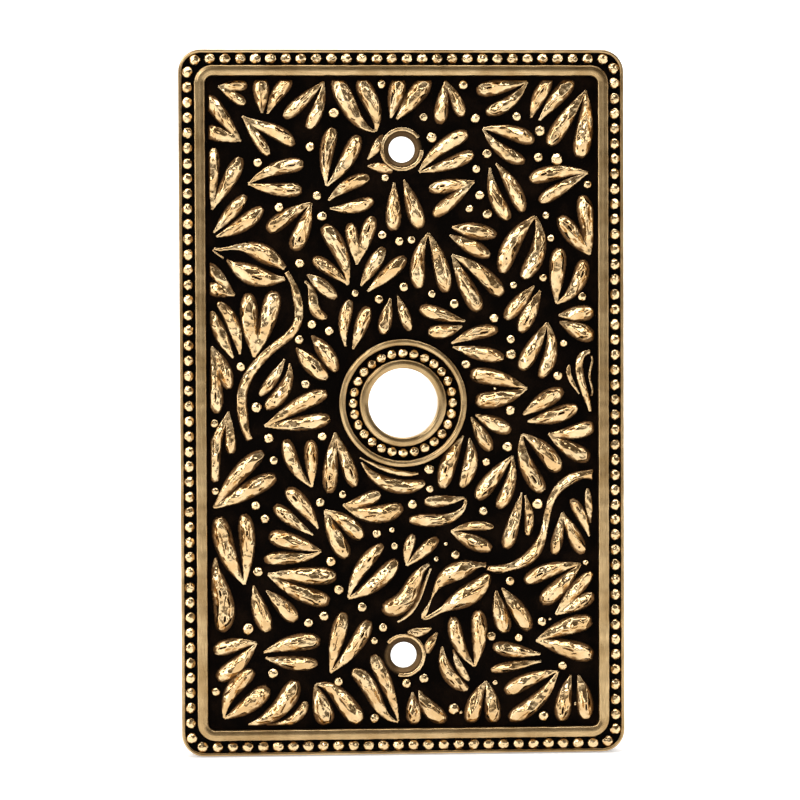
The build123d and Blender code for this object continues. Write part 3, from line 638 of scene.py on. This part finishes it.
def closed_relief(name, node, x, z, mask, height, worn_and_shaded):
    """A piece from heights over the ground where the mask holds, with a flat sunk back.

    Grid squares that touch the mask are kept. Their corners outside it go down to the
    back, and those inside it get a twin there.
    """
    solid = mask[:-1, :-1] | mask[1:, :-1] | mask[:-1, 1:] | mask[1:, 1:]
    rows, columns = np.nonzero(solid)
    stride = x.shape[1]
    corner = rows * stride + columns
    front = np.stack([corner, corner + 1, corner + stride + 1, corner + stride], -1)
    used, packed = np.unique(front, return_inverse=True)
    front = packed.reshape(front.shape)
    standing = mask.ravel()[used]
    sunk = GROUND_LEVEL + RELIEF_SUNK
    front_y = np.where(standing, GROUND_LEVEL - height.ravel()[used] * MM, sunk)
    flat = np.stack([x.ravel()[used] * MM, front_y, z.ravel()[used] * MM], -1)
    behind = flat[standing].copy()
    behind[:, 1] = sunk
    twin = np.arange(len(used))
    twin[standing] = len(used) + np.arange(standing.sum())
    faces = np.concatenate([front, twin[front][:, ::-1]])
    points = np.concatenate([flat, behind])
    patina_and_painted_shade = np.concatenate([np.where(standing, worn_and_shaded.ravel()[used], 1.0), np.ones(len(behind))])
    return new_piece(name, points, faces, "polished_relief", node, patina_and_painted_shade)


def relief_piece(node, sizes, seed, marks=True, blows=1.0):
    """Rebuilds a relief node as a hammered height field.

    The plain form is crest (w + (1 - w) (1 - a to the power of the fullness)) high, w
    being the upright wall's share and a the square root of 1 - (height / crest) squared.
    Facets, rims and cuts are added. At e outside the edge a skirt falls as
    (1 - e / spread) squared.
    """
    cell = sizes.cell / MM
    x, z, height = node_heights(node, cell)
    share = (height > 0.0).astype(float)
    height = share * blur(height, 1) / np.maximum(blur(share, 1), 0.1)
    run_x, run_z = leaf_run(height, cell)
    crest = crest_height(height, cell)
    outside = (depth_inside(height <= 0.0, 4) - 0.5) * cell
    spread = sizes.skirt / MM * np.clip(crest / FULL_CREST, 0.25, 1.0) ** 1.5
    skirt = np.clip(1.0 - outside / spread, 0.0, 1.0)
    mask = (height > 0.0) | (skirt > 0.05)
    across = blur(np.sqrt(np.clip(1.0 - (height / crest) ** 2, 0.0, 1.0)), 1)
    shaped = crest * (sizes.wall + (1.0 - sizes.wall) * (1.0 - across**sizes.fullness))
    body = soft_step(shaped, 0.1, 0.6)
    inner = soft_step(shaped, 0.3, 0.6)
    long_blow, wide_blow = sizes.blow_length / MM, sizes.blow_width / MM
    facet = hammer_blows(x, z, run_x, run_z, cell, long_blow, wide_blow, seed)
    small = hammer_blows(x, z, run_x, run_z, cell, 0.55 * long_blow, 0.6 * wide_blow, seed + 9.0)
    dented = sizes.blow_depth / MM * (facet + 0.25 * small - 0.82) * body * blows
    cut, rim = np.zeros(x.shape), np.zeros(x.shape)
    if marks:
        cut, rim = chased_marks(x, z, height, run_x, run_z, cell, seed)
    final = np.maximum(shaped + dented + (rim - cut) * inner, 0.03)
    final = np.where(height > 0.0, final, 0.8 * sizes.wall * crest * skirt * skirt) * mask
    final = np.minimum(final, (GROUND_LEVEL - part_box(node)[0].y) / MM + OVER_NODE)
    # Dark in the facet valleys: antique patina, and also painted shade where the valleys fall dark.
    valley_patina_and_shade = soft_step(blur(final, max(1, round(0.18 / cell))) - final, 0.02, 0.12) * inner
    foot = 1.0 - soft_step(final / crest, 0.3, sizes.foot)
    worn_and_shaded = np.maximum(np.maximum(0.6 * foot, 0.75 * valley_patina_and_shade), soft_step(cut * inner, 0.1, 0.3))
    # Brown to black on the skirt: patina round the leaf's foot, and also painted shade there.
    worn_and_shaded = np.where(height > 0.0, worn_and_shaded, 0.95 - 0.38 * skirt)
    return closed_relief("hammered_" + node, node, x, z, mask, final, worn_and_shaded)


def bead_places(node):
    """Centres (x, z) and radii of a node's beads, in metres.

    Points at one place are joined, each bead's points take their least number by
    way of its triangles, and a bead's box gives its centre and radius.
    """
    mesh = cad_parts[node].data
    points = np.empty(len(mesh.vertices) * 3, np.float32)
    mesh.vertices.foreach_get("co", points)
    points = points.reshape(-1, 3)
    same_place = 0.002 * MM
    keys = np.round(points / same_place).astype(np.int64)
    code = (keys[:, 0] * 1_000_003 + keys[:, 1]) * 1_000_033 + keys[:, 2]
    joined = np.unique(code, return_inverse=True)[1]
    corners = np.empty(len(mesh.loops), np.int32)
    mesh.loops.foreach_get("vertex_index", corners)
    triangles = joined[corners].reshape(-1, 3)
    label = np.arange(joined.max() + 1)
    while True:
        least = label[triangles].min(axis=1)
        fresh = label.copy()
        np.minimum.at(fresh, triangles.ravel(), np.repeat(least, 3))
        fresh = fresh[fresh]
        if (fresh == label).all():
            break
        label = fresh
    group = np.unique(label[joined], return_inverse=True)[1]
    count = group.max() + 1
    low, high = np.full((count, 3), np.inf), np.full((count, 3), -np.inf)
    np.minimum.at(low, group, points)
    np.maximum.at(high, group, points)
    centre = 0.5 * (low + high)
    return centre[:, 0], centre[:, 2], 0.25 * (high[:, 0] - low[:, 0] + high[:, 2] - low[:, 2])


def bead_piece(node, level, sizes, seed):
    """All beads of a node: domes with flattened lobes, on the surface at this level.

    A cap's point at the share s of its radius r stands r (w + (1 - w) (1 - s squared))
    up, w being the share of an upright foot. At the turn t it dips by a share of
    sin(pi s) squared times 1 - cos(lobes (t - twist)).
    """
    x, z, radius = bead_places(node)
    radius = radius * sizes.bead_swell
    sides, rings = sizes.bead_sides, sizes.bead_rings
    turns = np.arange(sides) * 2.0 * math.pi / sides
    shares = np.append(np.linspace(0.0, 1.0, rings)[1:], 1.0)
    foot = np.repeat(np.arange(rings) == rings - 1, sides)
    share, turn = (grid.ravel() for grid in np.meshgrid(shares, turns, indexing="ij"))
    order = np.arange(len(x))
    twist = scatter(order, 3.0, seed) * 2.0 * math.pi
    lobes = np.where(scatter(order, 5.0, seed) < 0.5, 3.0, 4.0)
    dip = 0.5 * (1.0 - np.cos(lobes[:, None] * (turn - twist[:, None])))
    dip = dip * np.sin(math.pi * share) ** 2 * sizes.bead_dent
    rise = sizes.bead_foot + (1.0 - sizes.bead_foot) * (1.0 - share**2)
    ring_x = x[:, None] + radius[:, None] * (share * np.cos(turn))
    ring_z = z[:, None] + radius[:, None] * (share * np.sin(turn))
    ring_y = level - radius[:, None] * (rise - dip)
    ring_y[:, foot] = level + SUNK
    top = np.stack([x, level - radius * (1.0 - 0.5 * sizes.bead_dent), z], -1)[:, None, :]
    base = np.stack([x, np.full(len(x), level + SUNK), z], -1)[:, None, :]
    points = np.concatenate([top, np.stack([ring_x, ring_y, ring_z], -1), base], axis=1)
    side = np.arange(sides)
    ahead = (side + 1) % sides
    pole, last = np.zeros(sides, int), 1 + (rings - 1) * sides
    triangles = [(pole, 1 + side, 1 + ahead)]
    for here in range(1, last, sides):
        below = here + sides
        triangles.append((here + side, below + side, below + ahead))
        triangles.append((here + side, below + ahead, here + ahead))
    triangles.append((last + side, pole + last + sides, last + ahead))
    one = np.concatenate([np.stack(corners, -1) for corners in triangles])
    every = (one + (order * points.shape[1])[:, None, None]).reshape(-1, 3)
    worn_and_shaded = np.concatenate([[0.0], np.where(foot, 1.0, 0.3 * soft_step(share, 0.85, 1.0)), [1.0]])
    # Painted dark reflection: the top of some beads is darkened.
    painted_dark_top = np.where(scatter(order, 8.0, seed) < 0.4, 0.45, 0.0)
    patina_and_painted_shade = np.tile(worn_and_shaded, (len(x), 1))
    patina_and_painted_shade[:, 0] = painted_dark_top
    flat = points.reshape(-1, 3)
    faces = outward(flat, every)
    return new_piece("domed_" + node, flat, faces, "polished_beads", node, patina_and_painted_shade)


def rounded_rectangle(half_width, half_height, radius):
    """Points and outward normals round a rounded rectangle.

    Each corner is a quarter circle, and the side after it is cut evenly.
    """
    corners, turns = [], []
    for quarter, (sign_x, sign_z) in enumerate(((1, 1), (-1, 1), (-1, -1), (1, -1))):
        turn = np.linspace(quarter, quarter + 1.0, CORNER_POINTS) * math.pi / 2
        centre = np.array([sign_x * (half_width - radius), sign_z * (half_height - radius)])
        turns.append(np.stack([np.cos(turn), np.sin(turn)], -1))
        corners.append(centre + radius * turns[-1])
    points, normals = [], []
    for quarter in range(4):
        last, following = corners[quarter][-1], (quarter + 1) % 4
        side = corners[following][0] - last
        cuts = max(2, round(np.linalg.norm(side) / PATH_STEP))
        share = np.linspace(0.0, 1.0, cuts)[1:-1, None]
        points += [corners[quarter], last + share * side]
        normals += [turns[quarter], np.repeat(turns[following][:1], len(share), axis=0)]
    return np.concatenate(points), np.concatenate(normals)


def circle_path(radius):
    """Points and outward normals round a circle about the plate's middle."""
    turn = np.arange(CIRCLE_POINTS) * 2.0 * math.pi / CIRCLE_POINTS
    normal = np.stack([np.cos(turn), np.sin(turn)], -1)
    return radius * normal, normal


def crowned_profile(width, rise, rounding, crown, sunk=SUNK):
    """A closed section (inset, height over the level) of a bar.

    Its shoulders are quarter circles, and the top between them is a parabola that rises
    by the crown.
    """
    turn = np.linspace(0.0, math.pi / 2, ROUNDING_POINTS)
    shoulder = rise - crown - rounding
    up = np.stack([rounding * (1.0 - np.cos(turn)), shoulder + rounding * np.sin(turn)], -1)
    share = np.linspace(0.0, 1.0, CROWN_POINTS)[1:-1]
    inset = rounding + share * (width - 2 * rounding)
    top = np.stack([inset, rise - crown * (2 * share - 1) ** 2], -1)
    down = np.stack([width - up[::-1, 0], up[::-1, 1]], -1)
    foot = shoulder * 0.45
    start = np.array([[0.0, -sunk], [0.0, 0.0], [0.0, foot]])
    end = np.array([[width, foot], [width, 0.0], [width, -sunk]])
    return np.concatenate([start, up, top, down, end])


def moulded_bar(name, node, path, profile, level, rough, seed, bore=False):
    """A section carried round a closed path: point = path - inset times normal.

    The inset and the height stray along the path by up to rough. The foot on each side
    is blackened, except inside a bore, and a UV map follows the bar in millimetres.
    """
    line, normals = path
    step = np.linalg.norm(np.roll(line, -1, 0) - line, axis=1)
    along = np.concatenate([[0.0], np.cumsum(step)[:-1]])
    tall, middle = profile[:, 1].max(), profile[:, 0].mean()
    high = soft_step(profile[:, 1], 0.3 * tall, 0.9 * tall)
    outwards = np.sign(profile[:, 0] - middle)
    stray_side = wander(along, 2.3 * MM, seed) * 0.6 + wander(along, 0.9 * MM, seed + 1) * 0.4
    stray_up = wander(along, 1.7 * MM, seed + 2) * 0.6 + wander(along, 0.6 * MM, seed + 3) * 0.4
    inset = profile[:, 0] - rough * np.abs(stray_side)[:, None] * (outwards * high)
    height = profile[:, 1] - rough * (0.5 + 0.5 * stray_up)[:, None] * high
    flat = line[:, None, :] - inset[:, :, None] * normals[:, None, :]
    points = np.stack([flat[..., 0], level - height, flat[..., 1]], -1)
    stations, corners = points.shape[:2]
    station, corner = np.meshgrid(np.arange(stations), np.arange(corners), indexing="ij")
    here, ahead = station * corners, (station + 1) % stations * corners
    aside = (corner + 1) % corners
    faces = np.stack([here + corner, ahead + corner, ahead + aside, here + aside], -1)
    faces, points = faces.reshape(-1, 4), points.reshape(-1, 3)
    worn_and_shaded = 1.0 - soft_step(profile[:, 1], 0.3 * tall, 0.78 * tall)
    if bore:
        worn_and_shaded = np.where(profile[:, 0] > middle, 0.15, worn_and_shaded)
    patina_and_painted_shade = np.tile(worn_and_shaded, (stations, 1))
    faces = outward(points, faces)
    piece = new_piece(name, points, faces, "satin_mouldings", node, patina_and_painted_shade)
    around = np.concatenate([[0.0], np.cumsum(np.linalg.norm(np.diff(profile, axis=0), axis=1))])
    chart = piece.data.uv_layers.new(name="along")
    index = np.empty(len(piece.data.loops), np.int32)
    piece.data.loops.foreach_get("vertex_index", index)
    uv = np.stack([along[index // corners] / MM, around[index % corners] / MM], -1)
    chart.data.foreach_set("uv", uv.astype(np.float32).ravel())
    return piece


# ---- settings


def plain(name, description, default, **more):
    """A number property."""
    return bpy.props.FloatProperty(name=name, description=description, default=default, **more)


def span(name, description, default, **more):
    """A length property, given here in millimetres."""
    return plain(name, description, default * MM, unit="LENGTH", precision=5, **more)


def factor(name, description, default, least, most):
    """A property that is a share of something."""
    return plain(name, description, default, min=least, max=most, subtype="FACTOR")


def angle(name, description, degrees):
    """An angle property, given here in degrees."""
    return plain(name, description, math.radians(degrees), subtype="ANGLE")


def colour(name, description, default):
    """A linear colour property."""
    return bpy.props.FloatVectorProperty(
        name=name, description=description, default=default, min=0.0, max=1.0, subtype="COLOR"
    )


class PlateSizes(bpy.types.PropertyGroup):
    """Sizes of the hand-worked surface of the plate."""

    cell: span("Relief grid", "Distance between the relief's grid points", 0.1, min=0.05 * MM)
    skirt: span("Leaf skirt", "Spread of the fillet at a leaf's foot", 0.24, min=0.01 * MM)
    fullness: plain("Leaf fullness", "Power of the leaf's crown; more is squarer", 1.6, min=1.0, max=6.0)
    wall: factor("Leaf wall", "Share of a leaf's height that stands upright at its edge", 0.38, 0.0, 0.9)
    blow_length: span("Facet length", "Reach of a hammer facet along a leaf", 1.9)
    blow_width: span("Facet width", "Reach of a hammer facet across a leaf", 0.85)
    blow_depth: span("Facet depth", "Depth of a hammer facet", 0.4)
    foot: factor("Dark foot", "Share of a leaf's height up to which patina stays", 0.6, 0.31, 1.0)
    bead_sides: bpy.props.IntProperty(
        name="Bead sides", description="Faces round each bead", default=12, min=6, max=24,
    )
    bead_rings: bpy.props.IntProperty(
        name="Bead rings", description="Rows of faces down a bead's side", default=5, min=3, max=8,
    )
    bead_dent: factor("Bead flats", "Depth of a bead's flats as a share of its radius", 0.1, 0.0, 0.4)
    bead_swell: plain("Bead swell", "Finished beads' size against plain ones", 1.04, min=0.8, max=1.1)
    bead_foot: factor("Bead foot", "Share of a bead's height that stands upright", 0.5, 0.0, 0.9)
    stray: span("Moulding stray", "How far the mouldings stray from their true line", 0.07)
    moulding_corner: span("Moulding corner", "Outer corner radius of the frame moulding", 3.0)
    moulding_width: span("Moulding width", "Width of the frame moulding", 1.75)
    plate_corner: span("Plate corner", "Outer corner radius of the plate", 3.7)
    lip_width: span("Lip width", "Width of the lip round the plate", 0.55)
    bushing_wall: span("Bushing wall", "Wall of the bushing in the centre hole", 1.44)
    ring_width: span("Collar ring width", "Width of the ring outside the collar beads", 1.05)


class PlateColours(bpy.types.PropertyGroup):
    """Linear colours of the plate's finishes."""

    gold: colour("Gold", "Polished relief, deeper tone", (0.64, 0.42, 0.195))
    gold_light: colour("Light gold", "Polished relief, paler tone", (0.80, 0.60, 0.34))
    # Brown and black also paint shade on the leaf skirts, in the facet valleys and on the tops of some
    # beads.
    brown: colour("Brown", "Patina half rubbed away", (0.15, 0.075, 0.028))
    black: colour("Black", "Patina left in the hollows", (0.0016, 0.0009, 0.0005))
    ground_brown: colour("Ground brown", "Worn places of the ground", (0.007, 0.0035, 0.0018))
    bronze: colour("Bronze", "Dishes round the screw holes", (0.115, 0.068, 0.03))
    satin: colour("Satin gold", "Mouldings, paler tone", (0.58, 0.415, 0.215))
    satin_dark: colour("Dark satin gold", "Mouldings, deeper tone", (0.36, 0.235, 0.105))
    cast: colour("Cast back", "Dull back, paler tone", (0.32, 0.24, 0.145))
    cast_dark: colour("Dark cast back", "Dull back, deeper tone", (0.235, 0.175, 0.105))


class PlateStudio(bpy.types.PropertyGroup):
    """The room, lights and camera round the plate."""

    distance: plain("Camera distance", "From the camera to the plate's middle", 0.5, unit="LENGTH")
    azimuth: angle("Camera azimuth", "How far the camera stands to the right of straight on", -3.365)
    elevation: angle("Camera elevation", "How far the camera stands above straight on", 1.764)
    roll: angle("Camera roll", "Turn of the camera about its own axis", -0.232)
    lens: plain("Lens", "Focal length in millimetres", 135.07)
    room: plain("Room light", "Brightness of the plain surroundings", 0.11)
    room_tint: colour("Room tint", "Colour of the plain surroundings", (1.0, 0.80, 0.56))
    lights: plain("Lights", "Share of every light's brightness", 1.0)


# ---- operators


class PLATE_OT_leaves(bpy.types.Operator):
    """Hammer the fourteen groups of leaves"""

    bl_idname = "plate.leaves"
    bl_label = "Leaf relief"

    def execute(self, context):
        for number, node in enumerate(LEAF_NODES):
            relief_piece(node, context.scene.plate_sizes, 11.0 + number)
        return {"FINISHED"}


class PLATE_OT_vines(bpy.types.Operator):
    """Hammer the vine stems, split leaves, calyxes and tendril"""

    bl_idname = "plate.vines"
    bl_label = "Vines and split leaves"

    def execute(self, context):
        for number, node in enumerate(SPLIT_NODES):
            relief_piece(node, context.scene.plate_sizes, 41.0 + number)
        for number, node in enumerate(STEM_NODES):
            relief_piece(node, context.scene.plate_sizes, 51.0 + number, marks=False)
        return {"FINISHED"}


class PLATE_OT_bezels(bpy.types.Operator):
    """Shape the thin rings round both screw holes"""

    bl_idname = "plate.bezels"
    bl_label = "Screw bezels"

    def execute(self, context):
        for number, node in enumerate(BEZEL_NODES):
            relief_piece(node, context.scene.plate_sizes, 61.0 + number, marks=False, blows=0.5)
        return {"FINISHED"}


class PLATE_OT_beads(bpy.types.Operator):
    """Raise the border, collar and field beads"""

    bl_idname = "plate.beads"
    bl_label = "Beads"

    def execute(self, context):
        sizes = context.scene.plate_sizes
        bead_piece("border_beads", CHANNEL_LEVEL, sizes, 71.0)
        bead_piece("collar_beads", GROUND_LEVEL, sizes, 72.0)
        for number, node in enumerate(FIELD_BEAD_NODES):
            bead_piece(node, GROUND_LEVEL, sizes, 73.0 + number)
        return {"FINISHED"}


class PLATE_OT_mouldings(bpy.types.Operator):
    """Carry the sections of the frame moulding and outer lip round the plate"""

    bl_idname = "plate.mouldings"
    bl_label = "Frame moulding and lip"

    def execute(self, context):
        sizes = context.scene.plate_sizes
        low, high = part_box("frame_moulding")
        path = rounded_rectangle(high.x, high.z, sizes.moulding_corner)
        profile = crowned_profile(sizes.moulding_width, CHANNEL_LEVEL - low.y, 0.3 * MM, 0.14 * MM)
        moulded_bar(
            "chased_frame_moulding", "frame_moulding", path, profile, CHANNEL_LEVEL, sizes.stray, 81.0
        )
        low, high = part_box("outer_lip")
        path = rounded_rectangle(high.x, high.z, sizes.plate_corner)
        profile = crowned_profile(sizes.lip_width, CHANNEL_LEVEL - low.y, 0.18 * MM, 0.03 * MM, 0.0)
        moulded_bar(
            "chased_outer_lip", "outer_lip", path, profile, CHANNEL_LEVEL, 0.6 * sizes.stray, 85.0
        )
        return {"FINISHED"}


class PLATE_OT_collar(bpy.types.Operator):
    """Turn the bushing and the ring round the centre hole"""

    bl_idname = "plate.collar"
    bl_label = "Centre collar"

    def execute(self, context):
        sizes = context.scene.plate_sizes
        low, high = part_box("collar_ring")
        profile = crowned_profile(sizes.ring_width, GROUND_LEVEL - low.y, 0.28 * MM, 0.1 * MM)
        moulded_bar(
            "chased_collar_ring", "collar_ring", circle_path(high.x), profile,
            GROUND_LEVEL, sizes.stray, 91.0,
        )
        low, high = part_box("centre_bushing")
        profile = crowned_profile(sizes.bushing_wall, high.y - low.y, 0.3 * MM, 0.12 * MM, 0.0)
        moulded_bar(
            "turned_centre_bushing", "centre_bushing", circle_path(high.x), profile,
            high.y, 0.4 * sizes.stray, 95.0, bore=True,
        )
        return {"FINISHED"}


class PLATE_OT_body(bpy.types.Operator):
    """Finish the tray and the ground panel"""

    bl_idname = "plate.body"
    bl_label = "Tray and ground"

    def execute(self, context):
        for node, name in (("back_tray", "cast_tray"), ("ground_panel", "blackened_ground")):
            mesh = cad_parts[node].data
            mesh.materials.clear()
            mesh.materials.append(finish_named(name))
        return {"FINISHED"}


class PLATE_OT_stage(bpy.types.Operator):
    """Set the floor, the lights and the camera"""

    bl_idname = "plate.stage"
    bl_label = "Stage"

    def execute(self, context):
        scene = context.scene
        scene.view_settings.view_transform = "Standard"
        self.room(scene, scene.plate_studio)
        self.floor(scene)
        self.lights(scene, scene.plate_studio)
        self.camera(scene, scene.plate_studio)
        return {"FINISHED"}

    def room(self, scene, studio):
        """Plain surroundings of one colour."""
        scene.world = bpy.data.worlds.new("plain_room")
        scene.world.use_nodes = True
        room = scene.world.node_tree.nodes["Background"].inputs
        room["Color"].default_value = (*studio.room_tint, 1.0)
        room["Strength"].default_value = studio.room

    def lights(self, scene, studio):
        """Oblong lights aimed at the plate, and one at the backdrop behind it."""
        for name, place, (width, height), brightness in LIGHTS:
            lamp = bpy.data.lights.new(name, "AREA")
            lamp.shape = "RECTANGLE"
            lamp.size, lamp.size_y = width, height
            lamp.energy = brightness * studio.lights * math.pi * width * height
            light = bpy.data.objects.new(name, lamp)
            light.location = place
            aim = BACKDROP_AIM if name == "backdrop" else Vector()
            light.rotation_euler = (aim - light.location).to_track_quat("-Z", "Y").to_euler()
            light.visible_camera = False
            scene.collection.objects.link(light)

    def camera(self, scene, studio):
        """A camera that looks at the plate's middle from the studio's distance and angles."""
        lens = bpy.data.cameras.new("camera")
        lens.lens = studio.lens
        lens.clip_start, lens.clip_end = 0.01, 20.0
        camera = bpy.data.objects.new("camera", lens)
        camera.location = studio.distance * Vector((
            math.sin(studio.azimuth) * math.cos(studio.elevation),
            -math.cos(studio.azimuth) * math.cos(studio.elevation),
            math.sin(studio.elevation),
        ))
        sight = (CAMERA_AIM - camera.location).to_track_quat("-Z", "Y")
        camera.rotation_mode = "QUATERNION"
        camera.rotation_quaternion = sight @ Quaternion(Vector((0.0, 0.0, 1.0)), studio.roll)
        scene.collection.objects.link(camera)
        scene.camera = camera

    def floor(self, scene):
        """A floor that sweeps up into a backdrop: a level run, a quarter circle, a rise."""
        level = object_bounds()[0].z - 0.2 * MM
        turn = np.linspace(0.0, math.pi / 2, 24)
        bend, behind = 0.6, 1.2
        run = np.array([[-2.5, 0.0], [-1.0, 0.0], [0.0, 0.0], [0.6, 0.0]])
        sweep = np.stack([behind + bend * np.sin(turn), bend * (1.0 - np.cos(turn))], -1)
        rise = np.array([[behind + bend, 1.4], [behind + bend, 2.4]])
        line = np.concatenate([run, sweep, rise])
        across = np.array([-2.5, -1.0, 0.0, 1.0, 2.5])
        x, y = np.meshgrid(across, line[:, 0])
        z = np.repeat(line[:, 1:], len(across), axis=1) + level
        points = np.stack([x, y, z], -1).reshape(-1, 3)
        stride = len(across)
        corner = np.arange((len(line) - 1) * stride).reshape(-1, stride)[:, :-1].ravel()
        faces = np.stack([corner, corner + 1, corner + stride + 1, corner + stride], -1)
        mesh = new_mesh("floor", points, faces)
        paint = Finish("pale_floor")
        shade = paint.noise(0.4, 2.0)
        tint = paint.mix(shade, (0.90, 0.90, 0.89), (0.94, 0.94, 0.93))
        mesh.materials.append(paint.done(
            Base_Color=tint, Roughness=0.8, Specular_IOR_Level=0.5,
            Emission_Color=(1.0, 1.0, 1.0), Emission_Strength=0.45,
        ))
        floor = bpy.data.objects.new("floor", mesh)
        scene.collection.objects.link(floor)
        floor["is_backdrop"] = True


class PLATE_PT_panel(bpy.types.Panel):
    """The wall plate's steps and settings"""

    bl_idname = "PLATE_PT_panel"
    bl_label = "Wall plate"
    bl_space_type = "VIEW_3D"
    bl_region_type = "UI"
    bl_category = "Wall plate"

    def draw(self, context):
        for step in STEPS:
            self.layout.operator(step.bl_idname)
        for group in ("plate_sizes", "plate_colours", "plate_studio"):
            settings = getattr(context.scene, group)
            for name in settings.bl_rna.properties.keys():
                if name not in ("rna_type", "name"):
                    self.layout.prop(settings, name)


STEPS = (
    PLATE_OT_leaves, PLATE_OT_vines, PLATE_OT_bezels, PLATE_OT_beads,
    PLATE_OT_mouldings, PLATE_OT_collar, PLATE_OT_body, PLATE_OT_stage,
)
SETTINGS = {"plate_sizes": PlateSizes, "plate_colours": PlateColours, "plate_studio": PlateStudio}


def register():
    for kind in (*SETTINGS.values(), *STEPS, PLATE_PT_panel):
        bpy.utils.register_class(kind)
    for name, kind in SETTINGS.items():
        setattr(bpy.types.Scene, name, bpy.props.PointerProperty(type=kind))


def unregister():
    for name in SETTINGS:
        delattr(bpy.types.Scene, name)
    for kind in (PLATE_PT_panel, *reversed(STEPS), *SETTINGS.values()):
        bpy.utils.unregister_class(kind)


def main():
    register()
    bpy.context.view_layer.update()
    bpy.ops.plate.leaves()
    bpy.ops.plate.vines()
    bpy.ops.plate.bezels()
    bpy.ops.plate.beads()
    bpy.ops.plate.mouldings()
    bpy.ops.plate.collar()
    bpy.ops.plate.body()
    bpy.ops.plate.stage()


if __name__ == "__main__":
    main()
